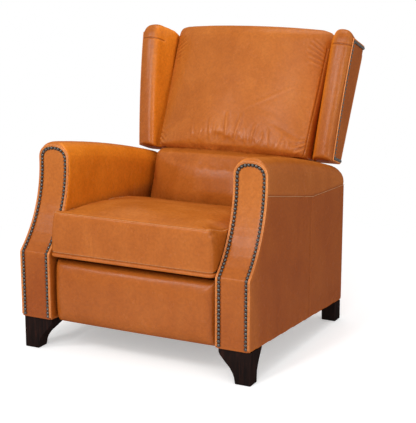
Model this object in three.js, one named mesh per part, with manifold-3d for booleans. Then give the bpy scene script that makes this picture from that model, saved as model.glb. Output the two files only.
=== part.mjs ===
// Wingback recliner with a fold-out footrest, nailhead trim and bracket feet.
// Millimetres. +X is the sitter's left, -Y is the front and +Z is up. The
// origin is on the floor under the middle of the chair. The pieces on the
// sitter's left are built first and those on the right mirror them.
import * as THREE from 'three';
import { mergeVertices } from 'three/addons/utils/BufferGeometryUtils.js';
import Module from 'manifold-3d';

const wasm = await Module();
wasm.setup();

// Driving dimensions

const overall = { width: 812.8, depth: 914.4, height: 990.6 };

// Gap left between pieces that touch, and overrun of a cutting tool.
const joint = 0.3;
const overrun = 5;

// Insets run from the outside of the chair, setbacks from the piece in front.
const arm = {
  width: 112,
  inset: 6.4,
  frontInset: 5.2,
  rearInset: 157.2,
  frontBottom: 104,
  rearBottom: 66,
  bendHeight: 318,
  sweepTop: 590,
  sweepRadius: 372,
  crestSetback: 152,
  crestHeight: 650,
  rearHeight: 533,
  crestBulge: 10,
  frontCorner: 18,
  rearCorner: 30,
  padOverRail: 28,
  innerWall: 17.7,
  outerWall: 12,
  rearWall: 12,
  innerWallBottom: 250,
  frontReturn: 57,
};

const seam = { frontSetback: 135, frontHeight: 545, kinkShare: 0.617, kinkHeight: 485, rearHeight: 474 };

const facing = { width: 100, thickness: 16, archHeight: 638.5, riseShare: 0.82, archPower: 2.3 };

const trim = { width: 9, thickness: 2.5, edge: 2, start: 10 };

const stretcher = { setback: 62, depth: 40, bottom: 102, top: 117 };
const rearRail = { thickness: 16, bottom: 80, top: 245 };
const armFrame = { boardThickness: 18, railHeight: 34, railWidth: 81 };

// A front foot's inner and rear sides swell from the bottom size to the top
// size; each pair is a share of its height and a share of that swelling.
const foot = {
  outerInset: 8.4,
  setback: 10,
  bottomWidth: 50,
  bottomDepth: 46,
  topWidth: 104,
  topDepth: 84,
  rearSetback: 5,
  rearTopDepth: 52,
  innerShares: [[0, 0], [0.18, 0.06], [0.3, 0.14], [0.46, 0.33], [0.62, 0.63], [0.8, 0.93], [0.88, 1], [1, 1]],
  rearShares: [[0, 0], [0.33, 0.06], [0.51, 0.25], [0.73, 0.57], [0.9, 0.88], [1, 1]],
};

// Shares of a cushion's half width at which its section is drawn.
const acrossShares = [-1, -0.985, -0.95, -0.88, -0.75, -0.5, -0.25, 0, 0.25, 0.5, 0.75, 0.88, 0.95, 0.985, 1];

// The seat cushion's front face and top: shares of its height and front bulge,
// then shares of its depth and of its rise above the rear edge.
const seat = {
  sideGap: 3,
  rearSetback: 116,
  lip: 314, lipDepth: 16, lipRise: 14,
  stitchHeight: 457,
  crestHeight: 470,
  rearHeight: 400,
  crown: 14,
  edge: 24,
  frontBulge: 9,
  cornerRadius: 22,
  rearCurve: 30,
  frontShares: [[0, 0.9], [0.04, 0.2], [0.085, 0], [0.5, 0], [0.85, 0.06], [0.95, 0.26], [1, 0.8]],
  topShares: [[0.045, 0.87], [0.09, 0.95], [0.2, 1], [0.42, 0.88], [0.65, 0.58], [0.85, 0.22], [0.97, 0.02],
    [1, -0.12]],
};

const panel = { sideGap: 5, bottom: 97, top: 299, depth: 47, boardThickness: 15, boardMargin: 15,
  boardEnd: 6, crown: 10, edge: 14 };

// Steel linkage. The plates of one side lie in parallel layers along X.
const layer = { inset: 58, thickness: 4, pitch: 6 };
const shaft = { radius: 8, boss: 13 };
const pin = { radius: 4, running: 0.4, head: 6.5, headThickness: 1.4 };
const link = { half: 82, radius: 9 };

// Lazy tong: its axis rises by tilt degrees, and its links stand at fold
// degrees from that axis when the footrest is closed.
const tong = { tilt: 0, fold: 81.7, pivotBehindBoard: 45, pivotHeight: 228 };

// The control link's ends: on the outer scissor link, with some play, and on
// the bracket.
const control = { along: 5.9, across: -31.5, play: 0.25, bracketForward: -24.1, bracketUp: -3.7 };

const bracket = { bottom: 200, top: 257, flangeThickness: 3, flangeReach: 28, radius: 12 };

// Setbacks from the panel's rear face, and leads forward of the back's pivot.
const plate = { top: 337, bottom: 204, setback: 7, noseHeight: 302, noseSetback: 63, shoulderLead: 132,
  heelLead: 155, tailRadius: 16, flangeSetback: 125, flangeLead: 160 };

const glide = { lip: 17, wall: 2.5, running: 0.4, setback: 70, lead: 140 };

const seatRail = { depth: 28, height: 40, frontHeight: 75, top: 340 };

const wire = { thickness: 3.6, width: 4, swing: 34, pitch: 44, count: 5, spacingShare: 0.366, clearance: 0.6, tie: 5,
  tieShares: [0.3, 0.68] };

// The back is built upright in its own group, which leans rearwards. In the
// group Y is 0 on the outside face of the back and Z is 0 at its foot.
const back = {
  lean: 17.8,
  foot: 300,
  height: 640,
  shellThickness: 12,
  sideGap: 7,
  postWidth: 36,
  postFront: 50,
  railHeight: 40,
  lowRail: 8,
  shellCorner: 26,
};

const pivot = { armLead: 100, z: 280, pin: 6, bracketTop: 170, bracketFront: 48, bracketRear: 16 };

// Cushions of the back. Their front faces swell by the crown from the edges
// to the middle; humpShares are height and swelling.
const lumbar = { sideGap: 7, bottom: 8, top: 236, edgeBottom: 146, edgeTop: 146, crown: 66, corner: 34,
  humpShares: [[0, 0.42], [0.05, 0.5], [0.15, 0.7], [0.32, 0.95], [0.55, 1], [0.78, 0.97], [0.92, 0.92], [1, 0.88]] };
const cushion = { sideGap: 3, bottom: 240, edgeBottom: 122, edgeTop: 56, crown: 74,
  corner: 22, wrap: 13, topCorner: 40, flareShare: 0.05,
  humpShares: [[0, 0.96], [0.03, 0.97], [0.09, 1], [0.3, 1], [0.55, 1], [0.8, 1], [1, 1]] };

// The front edge of a wing runs from frontBottom to frontTop on a curve.
const wing = {
  bottom: 242,
  flareTop: 650.5,
  crest: 688,
  crestRear: 668,
  rearSlopeShare: 4.5,
  frontBottom: 112,
  frontTop: 149,
  roll: 72,
  rollRadius: 28,
  bottomInset: 32.4,
  innerGap: 4,
  innerTurn: 62,
  corner: 38,
  domeShares: [0.88, 0.3, 0.35],
  boardThickness: 12,
  boardInset: 44,
  boardFront: 92,
  boardMargin: 20,
  nailTop: 646,
  nailInset: 32,
  nailBottomInset: 10,
  curve: 1.8,
};

// Worked out from the driving dimensions

const rad = THREE.MathUtils.degToRad;
const armOuter = overall.width / 2 - arm.inset;
const armInner = armOuter - arm.width;
const armMiddle = armOuter - arm.width / 2;
const armFrontY = arm.frontInset - overall.depth / 2;
const armRearY = overall.depth / 2 - arm.rearInset;
const crestY = armFrontY + arm.crestSetback;
const rollRadius = arm.width / 2;
const cavityInner = armInner + arm.innerWall;
const cavityOuter = armOuter - arm.outerWall;
const layerAt = (index) => armInner - layer.inset + index * layer.pitch;
const panelBackY = armFrontY + panel.depth;
const plateFrontY = panelBackY + plate.setback;
const pivotY = armRearY - pivot.armLead;
const plateShoulderY = pivotY - plate.shoulderLead;
const wireSpacing = layerAt(0) * wire.spacingShare;
const overSeat = seatRail.top + joint;
const seatUnderside = overSeat + wire.thickness + joint;
const cushionRear = back.postFront + wire.clearance + wire.thickness + joint;
const lean = rad(back.lean);
const backFootY = overall.depth / 2 - back.height * Math.sin(lean);
const shellFront = -back.shellThickness - joint;
const wingOuterTop = overall.width / 2 - trim.thickness - joint;
const wingOuterBottom = overall.width / 2 - wing.bottomInset;
const postInner = layerAt(1) + layer.thickness + joint;

// Height of the arm's crest, of the upholstery's lower edge and of the outer
// side seam, at a depth y.
function armTop(y) {
  const share = (y - crestY) / (armRearY - crestY);
  const line = arm.crestHeight + (arm.rearHeight - arm.crestHeight) * share;
  return line + arm.crestBulge * 4 * share * (1 - share);
}

function armBottom(y) {
  const share = (y - armFrontY) / (armRearY - armFrontY);
  return arm.frontBottom + (arm.rearBottom - arm.frontBottom) * share;
}

// The front of the arm: upright below the bend, then a hollow sweep to the
// upright front under the crest. Each point is [y, z].
function armFront(setback, bottom, steps = 10) {
  const hollow = arm.sweepTop - arm.bendHeight;
  const deepest = Math.sqrt(arm.sweepRadius ** 2 - hollow ** 2);
  const centre = armFrontY - deepest;
  const points = [[armFrontY + setback, bottom], [armFrontY + setback, arm.bendHeight]];
  for (let i = 1; i <= steps; i += 1) {
    const z = arm.bendHeight + (hollow * i) / steps;
    const y = centre + Math.sqrt(arm.sweepRadius ** 2 - (arm.sweepTop - z) ** 2);
    points.push([y + setback, z]);
  }
  return points;
}

// Solids and outlines

function toSolid(geometry) {
  const bare = geometry.clone();
  bare.deleteAttribute('normal');
  bare.deleteAttribute('uv');
  const merged = mergeVertices(bare, joint / 1000);
  const vertProperties = Float32Array.from(merged.attributes.position.array);
  const triVerts = Uint32Array.from(merged.index.array);
  return new wasm.Manifold(new wasm.Mesh({ numProp: 3, vertProperties, triVerts }));
}

function toGeometry(solid) {
  const mesh = solid.getMesh();
  const geometry = new THREE.BufferGeometry();
  geometry.setAttribute('position', new THREE.Float32BufferAttribute(mesh.vertProperties, 3));
  geometry.setIndex(Array.from(mesh.triVerts));
  return geometry;
}

const join = (...parts) => toGeometry(parts.map(toSolid).reduce((a, b) => a.add(b)));
const cut = (part, ...tools) => toGeometry(tools.map(toSolid).reduce((a, b) => a.subtract(b), toSolid(part)));
const common = (...parts) => toGeometry(parts.map(toSolid).reduce((a, b) => a.intersect(b)));

function extrude(points, length, axes, start) {
  const shape = new THREE.Shape(points.map(([a, b]) => new THREE.Vector2(a, b)));
  const geometry = new THREE.ExtrudeGeometry(shape, { depth: length, bevelEnabled: false, curveSegments: 1 });
  geometry.applyMatrix4(new THREE.Matrix4().makeBasis(...axes));
  geometry.translate(...start);
  return geometry;
}

const unitX = new THREE.Vector3(1, 0, 0);
const unitY = new THREE.Vector3(0, 1, 0);
const unitZ = new THREE.Vector3(0, 0, 1);

// An outline of [y, z] points along X, of [x, z] points along Y, and of [x, y]
// points along Z.
const alongX = (points, from, to) => extrude(points, to - from, [unitY, unitZ, unitX], [from, 0, 0]);
const alongY = (points, from, to) =>
  extrude(points, to - from, [unitX, unitZ, unitY.clone().negate()], [0, to, 0]);
const alongZ = (points, from, to) => extrude(points, to - from, [unitX, unitY, unitZ], [0, 0, from]);

function box(x0, x1, y0, y1, z0, z1) {
  const geometry = new THREE.BoxGeometry(x1 - x0, y1 - y0, z1 - z0);
  return geometry.translate((x0 + x1) / 2, (y0 + y1) / 2, (z0 + z1) / 2);
}

function rodX(radius, x0, x1, y, z, sides = 12) {
  const geometry = new THREE.CylinderGeometry(radius, radius, x1 - x0, sides);
  return geometry.rotateZ(Math.PI / 2).translate((x0 + x1) / 2, y, z);
}

// A closed skin through rings that hold the same number of points each.
function loft(rings) {
  const count = rings[0].length;
  const positions = rings.flat().flatMap((p) => [p.x, p.y, p.z]);
  const index = [];
  for (let r = 0; r + 1 < rings.length; r += 1) {
    for (let i = 0; i < count; i += 1) {
      const a = r * count + i;
      const b = r * count + ((i + 1) % count);
      index.push(a, b, b + count, a, b + count, a + count);
    }
  }
  for (const [ring, offset, flip] of [[rings[0], 0, true], [rings.at(-1), (rings.length - 1) * count, false]]) {
    const middle = new THREE.Vector3();
    ring.forEach((p) => middle.add(p));
    middle.divideScalar(count);
    const hub = positions.length / 3;
    positions.push(middle.x, middle.y, middle.z);
    for (let i = 0; i < count; i += 1) {
      const a = offset + i;
      const b = offset + ((i + 1) % count);
      index.push(...(flip ? [hub, b, a] : [hub, a, b]));
    }
  }
  const geometry = new THREE.BufferGeometry();
  geometry.setAttribute('position', new THREE.Float32BufferAttribute(positions, 3));
  geometry.setIndex(index);
  return volumeOf(geometry) < 0 ? turnedOut(geometry) : geometry;
}

function volumeOf(geometry) {
  const p = geometry.attributes.position;
  const at = (i) => new THREE.Vector3().fromBufferAttribute(p, i);
  const { array } = geometry.index;
  let sum = 0;
  for (let i = 0; i < array.length; i += 3) {
    sum += at(array[i]).dot(at(array[i + 1]).cross(at(array[i + 2])));
  }
  return sum;
}

function turnedOut(geometry) {
  const array = Array.from(geometry.index.array);
  for (let i = 0; i < array.length; i += 3) {
    [array[i], array[i + 1]] = [array[i + 1], array[i]];
  }
  geometry.setIndex(array);
  return geometry;
}

function mirrored(geometry) {
  const copy = mergeVertices(bareCopy(geometry), joint / 1000);
  copy.scale(-1, 1, 1);
  return turnedOut(copy);
}

function bareCopy(geometry) {
  const copy = geometry.clone();
  copy.deleteAttribute('normal');
  copy.deleteAttribute('uv');
  return copy;
}

function arc(cx, cy, radius, from, to, steps) {
  const points = [];
  for (let i = 0; i <= steps; i += 1) {
    const angle = rad(from + ((to - from) * i) / steps);
    points.push([cx + radius * Math.cos(angle), cy + radius * Math.sin(angle)]);
  }
  return points;
}

// Materials

const paint = (color, roughness, metalness) => new THREE.MeshStandardMaterial({ color, roughness, metalness });
const leather = paint(0xb4662f, 0.45, 0);
const espresso = paint(0x21140f, 0.35, 0);
const plywood = paint(0xb98f5c, 0.8, 0);
const steel = paint(0x4a4d50, 0.45, 0.9);
const springSteel = paint(0x6a6d70, 0.4, 0.9);
const antiqueBrass = paint(0x4d4335, 0.4, 0.9);

const recliner = new THREE.Group();
const leaningBack = new THREE.Group();
recliner.add(leaningBack);

function place(name, geometry, material, group = recliner) {
  const mesh = new THREE.Mesh(geometry, material);
  mesh.name = name;
  group.add(mesh);
}

function placePair(name, geometry, material, group = recliner) {
  place(`${name}_left`, geometry, material, group);
  place(`${name}_right`, mirrored(geometry), material, group);
}

// Arms

// The whole arm as a solid: a round-topped section whose crest follows
// armTop, cut to the side outline.
function armEnvelope() {
  const rings = [];
  const ends = [armFrontY - overrun, armRearY + overrun];
  const steps = 10;
  for (let i = 0; i <= steps; i += 1) {
    const y = ends[0] + ((ends[1] - ends[0]) * i) / steps;
    const centre = armTop(y) - rollRadius;
    const top = arc(armMiddle, centre, rollRadius, 0, 180, 12);
    const outline = [...top, [armInner, -overrun], [armOuter, -overrun]];
    rings.push(outline.map(([x, z]) => new THREE.Vector3(x, y, z)));
  }
  const front = armFront(0, arm.frontBottom);
  const [shoulderY, shoulderZ] = front.at(-1);
  const crest = arc(shoulderY + arm.frontCorner, armTop(shoulderY + arm.frontCorner) - arm.frontCorner,
    arm.frontCorner, 180, 90, 5).filter(([, z]) => z > shoulderZ);
  const tail = arc(armRearY - arm.rearCorner, armTop(armRearY - arm.rearCorner) - arm.rearCorner,
    arm.rearCorner, 80, 0, 4);
  const ridge = [];
  for (let i = 1; i < steps; i += 1) {
    const y = crest.at(-1)[0] + ((tail[0][0] - crest.at(-1)[0]) * i) / steps;
    ridge.push([y, armTop(y) + joint]);
  }
  const outline = [...front, ...crest, ...ridge, ...tail, [armRearY, armBottom(armRearY)]];
  return common(loft(rings), alongX(outline, armInner, armOuter));
}

// The seam on the outer side, as [y, z] points.
const kinkY = armFrontY + (armRearY - armFrontY) * seam.kinkShare;
const seamLine = [
  [armFrontY - overrun, seam.frontHeight + (seam.frontHeight - seam.kinkHeight)
    * ((seam.frontSetback + overrun) / (kinkY - armFrontY - seam.frontSetback))],
  [kinkY, seam.kinkHeight],
  [armRearY + overrun, seam.rearHeight],
];

// A flattened arch over two upright sides.
function archOutline(halfWidth, archTop, bottom, steps = 14) {
  const rise = halfWidth * facing.riseShare;
  const bent = (value) => Math.sign(value) * Math.abs(value) ** (2 / facing.archPower);
  const arch = [];
  for (let i = 0; i <= steps; i += 1) {
    const angle = (Math.PI * i) / steps;
    arch.push([armMiddle + halfWidth * bent(Math.cos(angle)), archTop - rise + rise * bent(Math.sin(angle))]);
  }
  return [...arch, [armMiddle - halfWidth, bottom], [armMiddle + halfWidth, bottom]];
}

const facingArch = archOutline(facing.width / 2, facing.archHeight, arm.frontBottom);

// A slab of the arm's front between two setbacks from its profile.
function frontSlab(outline, near, far) {
  const face = armFront(near, -overrun);
  const top = overall.height;
  const hidden = armFront(far, -overrun).reverse();
  const slab = [...face, [face.at(-1)[0], top], [hidden[0][0], top], ...hidden];
  return common(alongX(slab, armInner, armOuter), alongY(outline, armFrontY - facing.width, crestY));
}

function buildArm() {
  const envelope = armEnvelope();
  const floor = -overrun;

  // Room under the padding for the side board and the top rail.
  const steps = 8;
  const hollow = [[armFrontY - overrun, floor]];
  for (let i = 0; i <= steps; i += 1) {
    const y = armFrontY - overrun + ((armRearY - arm.rearWall - armFrontY + overrun) * i) / steps;
    hollow.push([y, armTop(y) - arm.padOverRail]);
  }
  hollow.push([armRearY - arm.rearWall, floor]);
  const cavity = alongX(hollow, cavityInner, cavityOuter);

  const belowSeam = [[armFrontY - overrun, floor], ...seamLine, [armRearY + overrun, floor]];
  const outsideBlock = alongX(belowSeam, cavityInner, armOuter + overrun);
  const notch = box(armInner - overrun, cavityInner + joint, armFrontY + arm.frontReturn, armRearY + overrun,
    floor, arm.innerWallBottom);
  const recess = frontSlab(archOutline(facing.width / 2 + joint, facing.archHeight + joint, floor),
    -overrun, facing.thickness + joint);
  const padding = cut(envelope, cavity, outsideBlock, notch, recess);
  placePair('arm_pad', padding, leather);

  // The outside panel wraps round the rear of the arm.
  const seamGap = belowSeam.map(([y, z]) => [y, z > 0 ? z - joint : z]);
  const panelBlock = alongX(seamGap, cavityInner + joint, armOuter + overrun);
  placePair('outside_arm_panel', cut(common(envelope, panelBlock), cavity, recess), leather);

  placePair('arm_front_panel', frontSlab(facingArch, 0, facing.thickness), leather);

  // Wooden side board and top rail, behind the front panel.
  const setback = facing.thickness + joint;
  const boardFront = armFront(setback, armBottom(armFrontY));
  const railFace = (drop) => {
    const points = [];
    const from = boardFront.at(-1)[0];
    const to = armRearY - arm.rearWall - joint;
    for (let i = 0; i <= steps; i += 1) {
      const y = from + ((to - from) * i) / steps;
      points.push([y, armTop(y) - arm.padOverRail - joint - drop]);
    }
    return points;
  };
  const rail = [...railFace(0), ...railFace(armFrame.railHeight).reverse()];
  placePair('arm_top_rail', alongX(rail, cavityInner + joint, cavityInner + joint + armFrame.railWidth), plywood);

  const boardTop = railFace(armFrame.railHeight + joint);
  const lower = boardFront.filter(([, z]) => z < boardTop[0][1]);
  const board = [...lower, ...boardTop, [boardTop.at(-1)[0], armBottom(armRearY)]];
  placePair('arm_side_board',
    alongX(board, cavityInner + joint, cavityInner + joint + armFrame.boardThickness), plywood);

  // A nailhead strip along both edges and over the arch of the front panel.
  const outer = facing.width / 2 - trim.edge;
  const start = arm.frontBottom + trim.start;
  const band = archOutline(outer, facing.archHeight - trim.edge, start);
  const inside = archOutline(outer - trim.width, facing.archHeight - trim.edge - trim.width, start - overrun);
  const strip = cut(frontSlab(band, -joint - trim.thickness, -joint),
    alongY(inside, armFrontY - facing.width, armRearY));
  placePair('arm_nail_trim', strip, antiqueBrass);
}

// Feet and the rails that tie the arms together

function buildBase() {
  const outer = overall.width / 2 - foot.outerInset;
  const under = (y) => armBottom(y) - joint;
  const swell = (shares, bottom, top) =>
    shares.map(([up, out]) => [bottom + (top - bottom) * out, arm.frontBottom * up]);

  const front = armFrontY + foot.setback;
  const inner = swell(foot.innerShares, outer - foot.bottomWidth, outer - foot.topWidth);
  const frontView = [[outer, 0], [outer, arm.frontBottom], ...inner.reverse()];
  const rearEdge = swell(foot.rearShares, front + foot.bottomDepth, front + foot.topDepth)
    .map(([y, z]) => [y, Math.min(z, under(y))]);
  const sideView = [[front, 0], ...rearEdge, [front, under(front)]];
  placePair('foot_front', common(alongY(frontView, front, front + foot.topDepth),
    alongX(sideView, outer - foot.topWidth, outer)), espresso);

  const rear = armRearY - foot.rearSetback;
  const block = [[rear - foot.bottomDepth, 0], [rear, 0], [rear, under(rear)],
    [rear - foot.rearTopDepth, under(rear - foot.rearTopDepth)]];
  placePair('foot_rear', alongX(block, outer - foot.bottomWidth, outer), espresso);

  const rearFace = armRearY - arm.rearWall - joint;
  place('front_stretcher', box(-cavityInner, cavityInner, armFrontY + stretcher.setback,
    armFrontY + stretcher.setback + stretcher.depth, stretcher.bottom, stretcher.top), plywood);
  place('rear_rail', box(-cavityInner, cavityInner, rearFace - rearRail.thickness, rearFace,
    rearRail.bottom, rearRail.top), plywood);

  // A slotted rail on each side board carries the seat's sliding flange.
  const low = plate.bottom - glide.running;
  const high = plate.bottom + layer.thickness + glide.running;
  const lip = armInner - glide.lip;
  const section = [[lip, low - glide.wall], [cavityInner, low - glide.wall], [cavityInner, high + glide.wall],
    [lip, high + glide.wall], [lip, high], [cavityInner - glide.wall, high], [cavityInner - glide.wall, low],
    [lip, low]];
  placePair('glide_rail', alongY(section, panelBackY + glide.setback, pivotY - glide.lead), steel);
}

// Sprung suspension

// A strip of even width along a line of points.
function strip(line, width) {
  const offset = (sign) => line.map((p, i) => {
    const a = new THREE.Vector2(...line[Math.max(i - 1, 0)]);
    const b = new THREE.Vector2(...line[Math.min(i + 1, line.length - 1)]);
    const normal = b.sub(a).normalize();
    return [p[0] - (sign * normal.y * width) / 2, p[1] + (sign * normal.x * width) / 2];
  });
  return [...offset(-1), ...offset(1).reverse()];
}

// A zigzag wire as a strip, running from one place to another about a centre.
function zigzag(from, to, centre) {
  const quarters = Math.round(((to - from) * 4) / wire.pitch);
  const line = [];
  for (let i = 0; i <= quarters; i += 1) {
    const side = i % 4 < 2 ? 1 : -1;
    line.push([centre + (side * wire.swing) / 2, from + ((to - from) * i) / quarters]);
  }
  return strip(line, wire.width);
}

function springWires(from, to, turn) {
  const parts = [];
  for (let i = 0; i < wire.count; i += 1) {
    parts.push(turn(zigzag(from, to, wireSpacing * (i - (wire.count - 1) / 2))));
  }
  return parts;
}

// Seat

// A stuffed form: sections in the Y and Z plane, set along X.
function stuffed(width, sectionAt) {
  return loft(acrossShares.map((share) => sectionAt(share, (1 - Math.abs(share)) * (width / 2))
    .map(([y, z]) => new THREE.Vector3((share * width) / 2, y, z))));
}

// How far a round of this radius draws in at a distance from its edge.
function roundOff(distance, radius) {
  const share = Math.min(Math.max((radius - distance) / radius, 0), 1);
  return radius * (1 - Math.sqrt(1 - share * share));
}

function buildSeat() {
  const from = -overall.depth / 2;
  const rear = pivotY - seat.rearSetback;
  const depth = rear - from;
  const width = 2 * (armInner - seat.sideGap);
  const stuffing = stuffed(width, (share, edge) => {
    const drawn = roundOff(edge, seat.cornerRadius);
    const drop = seat.crown * share * share + roundOff(edge, seat.edge);
    const sunk = (z) => Math.max(z - drop, Math.min(z, seat.stitchHeight));
    const wrap = seat.rearCurve * Math.abs(share) ** 2.4;
    const front = seat.frontShares.map(([up, bulge]) =>
      [from + seat.frontBulge * bulge + drawn, seat.lip + (seat.stitchHeight - seat.lip) * up]);
    const top = seat.topShares.map(([along, rise]) => {
      const z = seat.rearHeight + (seat.crestHeight - seat.rearHeight) * rise;
      const pull = drawn * Math.max(0, 1 - along * 4) + wrap * Math.max(0, along * 2 - 1);
      return [from + depth * along + pull, sunk(z)];
    });
    return [...front, ...top, [rear + wrap, seat.lip]];
  });
  const clearance = box(-width, width, panelBackY, rear + seat.rearCurve + overrun, -overrun,
    seatUnderside);
  const behindLip = box(-width, width, from + seat.lipDepth, panelBackY + overrun, -overrun,
    seat.lip + seat.lipRise);
  place('seat_cushion', cut(stuffing, clearance, behindLip), leather);

  // Side plate with a flange bent outwards into the slotted rail.
  const inner = layerAt(0);
  const outer = inner + layer.thickness;
  const outline = [[plateFrontY, plate.top], [plateFrontY, plate.noseHeight],
    [panelBackY + plate.noseSetback, plate.bottom], [pivotY - plate.heelLead, plate.bottom],
    [pivotY, pivot.z - plate.tailRadius], [pivotY, pivot.z + plate.tailRadius], [plateShoulderY, plate.top]];
  const side = alongX(outline, inner, outer);
  const tail = rodX(plate.tailRadius, inner, outer, pivotY, pivot.z);
  const flange = box(inner, cavityInner - glide.wall - glide.running, panelBackY + plate.flangeSetback,
    pivotY - plate.flangeLead, plate.bottom, plate.bottom + layer.thickness);
  placePair('seat_side_plate', cut(join(side, tail, flange),
    hole(tongRear, 0, shaft.radius), hole([pivotY, pivot.z], 0, pivot.pin)), steel);

  const half = inner - joint;
  place('seat_front_rail', box(-half, half, plateFrontY, plateFrontY + seatRail.depth,
    seatRail.top - seatRail.frontHeight, seatRail.top), plywood);
  place('seat_rear_rail', box(-half, half, plateShoulderY - seatRail.depth, plateShoulderY,
    seatRail.top - seatRail.height, seatRail.top), plywood);

  const start = plateFrontY + seatRail.depth / 3;
  const end = plateShoulderY - seatRail.depth / 3;
  const wires = springWires(start, end, (shape) => alongZ(shape, overSeat, overSeat + wire.thickness));
  const reach = (wireSpacing * (wire.count - 1)) / 2 + wire.swing / 2;
  const ties = wire.tieShares.map((share) => {
    const y = start + (end - start) * share;
    return box(-reach, reach, y, y + wire.tie, overSeat - wire.thickness / 2, overSeat + wire.thickness / 2);
  });
  place('seat_springs', join(...wires, ...ties), springSteel);
}

// Footrest and its linkage

// Pivots at rest as [y, z]; a step goes forward at an angle above level.
const tilt = rad(tong.tilt);
const fold = rad(tong.fold);
const square = Math.PI / 2;
const step = ([y, z], distance, angle) => [y - distance * Math.cos(angle), z + distance * Math.sin(angle)];
const spread = 2 * link.half * Math.cos(fold);
const tongFront = [panelBackY + tong.pivotBehindBoard, tong.pivotHeight];
const tongMiddle = step(tongFront, -spread, tilt);
const tongRear = step(tongMiddle, -spread, tilt);
const upperRear = step(tongRear, link.half, tilt + fold);
const lowerRear = step(tongRear, link.half, tilt - fold);
const upperFront = step(upperRear, spread, tilt);
const lowerFront = step(lowerRear, spread, tilt);
const controlEar = step(step(lowerFront, control.along, tilt - fold), control.across, tilt - fold + square);
const controlTop = [tongFront[0] - control.bracketForward, tongFront[1] + control.bracketUp];

// A flat bar with round ends in one layer.
function bar(index, from, to, radius = link.radius) {
  const angle = THREE.MathUtils.radToDeg(Math.atan2(to[1] - from[1], to[0] - from[0]));
  const outline = [...arc(...to, radius, angle - 90, angle + 90, 6), ...arc(...from, radius, angle + 90,
    angle + 270, 6)];
  return alongX(outline, layerAt(index), layerAt(index) + layer.thickness);
}

function hole(at, index, radius) {
  return rodX(radius + pin.running, layerAt(index) - joint, layerAt(index) + layer.thickness + joint, ...at, 16);
}

// A pin fixed in one layer, through the others as far as the last, with a
// head on the far side of the last.
function rivet(at, owner, last, radius = pin.radius) {
  const sign = last < owner ? -1 : 1;
  const near = (index) => layerAt(index) + (sign > 0 ? layer.thickness : 0);
  const root = near(owner) - sign * joint;
  const face = near(last) + sign * joint;
  const end = face + sign * pin.headThickness;
  const head = radius + pin.head - pin.radius;
  return [rodX(radius, Math.min(root, end), Math.max(root, end), ...at),
    rodX(head, Math.min(face, end), Math.max(face, end), ...at)];
}

function buildFootrest() {
  const eye = (at, index) => hole(at, index, pin.radius);
  const reach = layerAt(2) + layer.thickness;
  const drive = cut(bar(2, tongRear, upperRear), eye(upperRear, 2));
  place('footrest_drive_arms', join(rodX(shaft.radius, -reach, reach, ...tongRear, 16), drive, mirrored(drive)),
    steel);

  const boss = rodX(shaft.boss, layerAt(1), layerAt(1) + layer.thickness, ...tongRear, 16);
  placePair('footrest_rear_arm', cut(join(bar(1, tongRear, lowerRear), boss), hole(tongRear, 1, shaft.radius),
    eye(lowerRear, 1)), steel);

  placePair('scissor_outer', join(bar(3, upperRear, lowerFront), bar(3, lowerFront, controlEar),
    ...rivet(upperRear, 3, 2), ...rivet(tongMiddle, 3, 2), ...rivet(lowerFront, 3, 2),
    ...rivet(controlEar, 3, 4)), steel);

  placePair('scissor_inner', join(cut(bar(2, lowerRear, upperFront), eye(tongMiddle, 2)),
    ...rivet(lowerRear, 2, 1), ...rivet(upperFront, 2, 1)), steel);

  placePair('front_lower_arm', cut(bar(2, lowerFront, tongFront), eye(lowerFront, 2), eye(tongFront, 2)), steel);
  placePair('front_upper_arm', cut(bar(1, upperFront, tongFront), eye(upperFront, 1), eye(tongFront, 1)), steel);
  placePair('control_link', cut(bar(4, controlEar, controlTop), hole(controlEar, 4, pin.radius + control.play),
    eye(controlTop, 4)), steel);

  const inner = layerAt(5);
  const outer = inner + layer.thickness;
  const arms = bar(5, controlTop, tongFront, bracket.radius);
  const web = alongX([[panelBackY, bracket.bottom], tongFront, [panelBackY, bracket.top]], inner, outer);
  const flange = box(outer - bracket.flangeReach, outer, panelBackY, panelBackY + bracket.flangeThickness,
    bracket.bottom, bracket.top);
  placePair('footrest_bracket', join(arms, web, flange, ...rivet(tongFront, 5, 1), ...rivet(controlTop, 5, 4)),
    steel);

  const width = 2 * (armInner - panel.sideGap);
  const half = width / 2 - panel.boardMargin;
  const boardRear = panelBackY - joint;
  const low = panel.bottom + panel.boardEnd;
  const high = panel.top - panel.boardEnd;
  place('footrest_board', box(-half, half, boardRear - panel.boardThickness, boardRear, low, high), plywood);

  const height = panel.top - panel.bottom;
  const sides = [0, 0.04, 0.12, 0.3, 0.5, 0.7, 0.88, 0.96, 1];
  const padding = stuffed(width, (share, edge) => {
    const front = armFrontY + (panel.crown * share * share) / 2 + roundOff(edge, panel.edge);
    const face = sides.map((up) => {
      const fromEnd = height * Math.min(up, 1 - up);
      const bow = panel.crown * (up - sides[4]) ** 2 * 2;
      return [front + bow + roundOff(fromEnd, panel.edge), panel.bottom + height * up];
    });
    return [[panelBackY, panel.bottom], ...face, [panelBackY, panel.top]];
  });
  const pocket = box(-half - joint, half + joint, boardRear - panel.boardThickness - joint,
    panelBackY + overrun, low - joint, high + joint);
  place('footrest_pad', cut(padding, pocket), leather);
}

// Back

function wingOuter(w) {
  const share = Math.min((w - wing.bottom) / (wing.flareTop - wing.bottom), 1);
  return wingOuterBottom + (wingOuterTop - wingOuterBottom) * share;
}

function wingFront(w) {
  const share = Math.min(Math.max((w - wing.bottom) / (wing.nailTop - wing.bottom), 0), 1);
  return -wing.frontBottom - (wing.frontTop - wing.frontBottom) * (1 - (1 - share) ** wing.curve);
}

// The upper cushion widens towards its top, and the wings stay beside it.
function flared(width, w) {
  return width * (1 + (cushion.flareShare * (w - cushion.bottom)) / (wing.crest - cushion.bottom));
}

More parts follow.
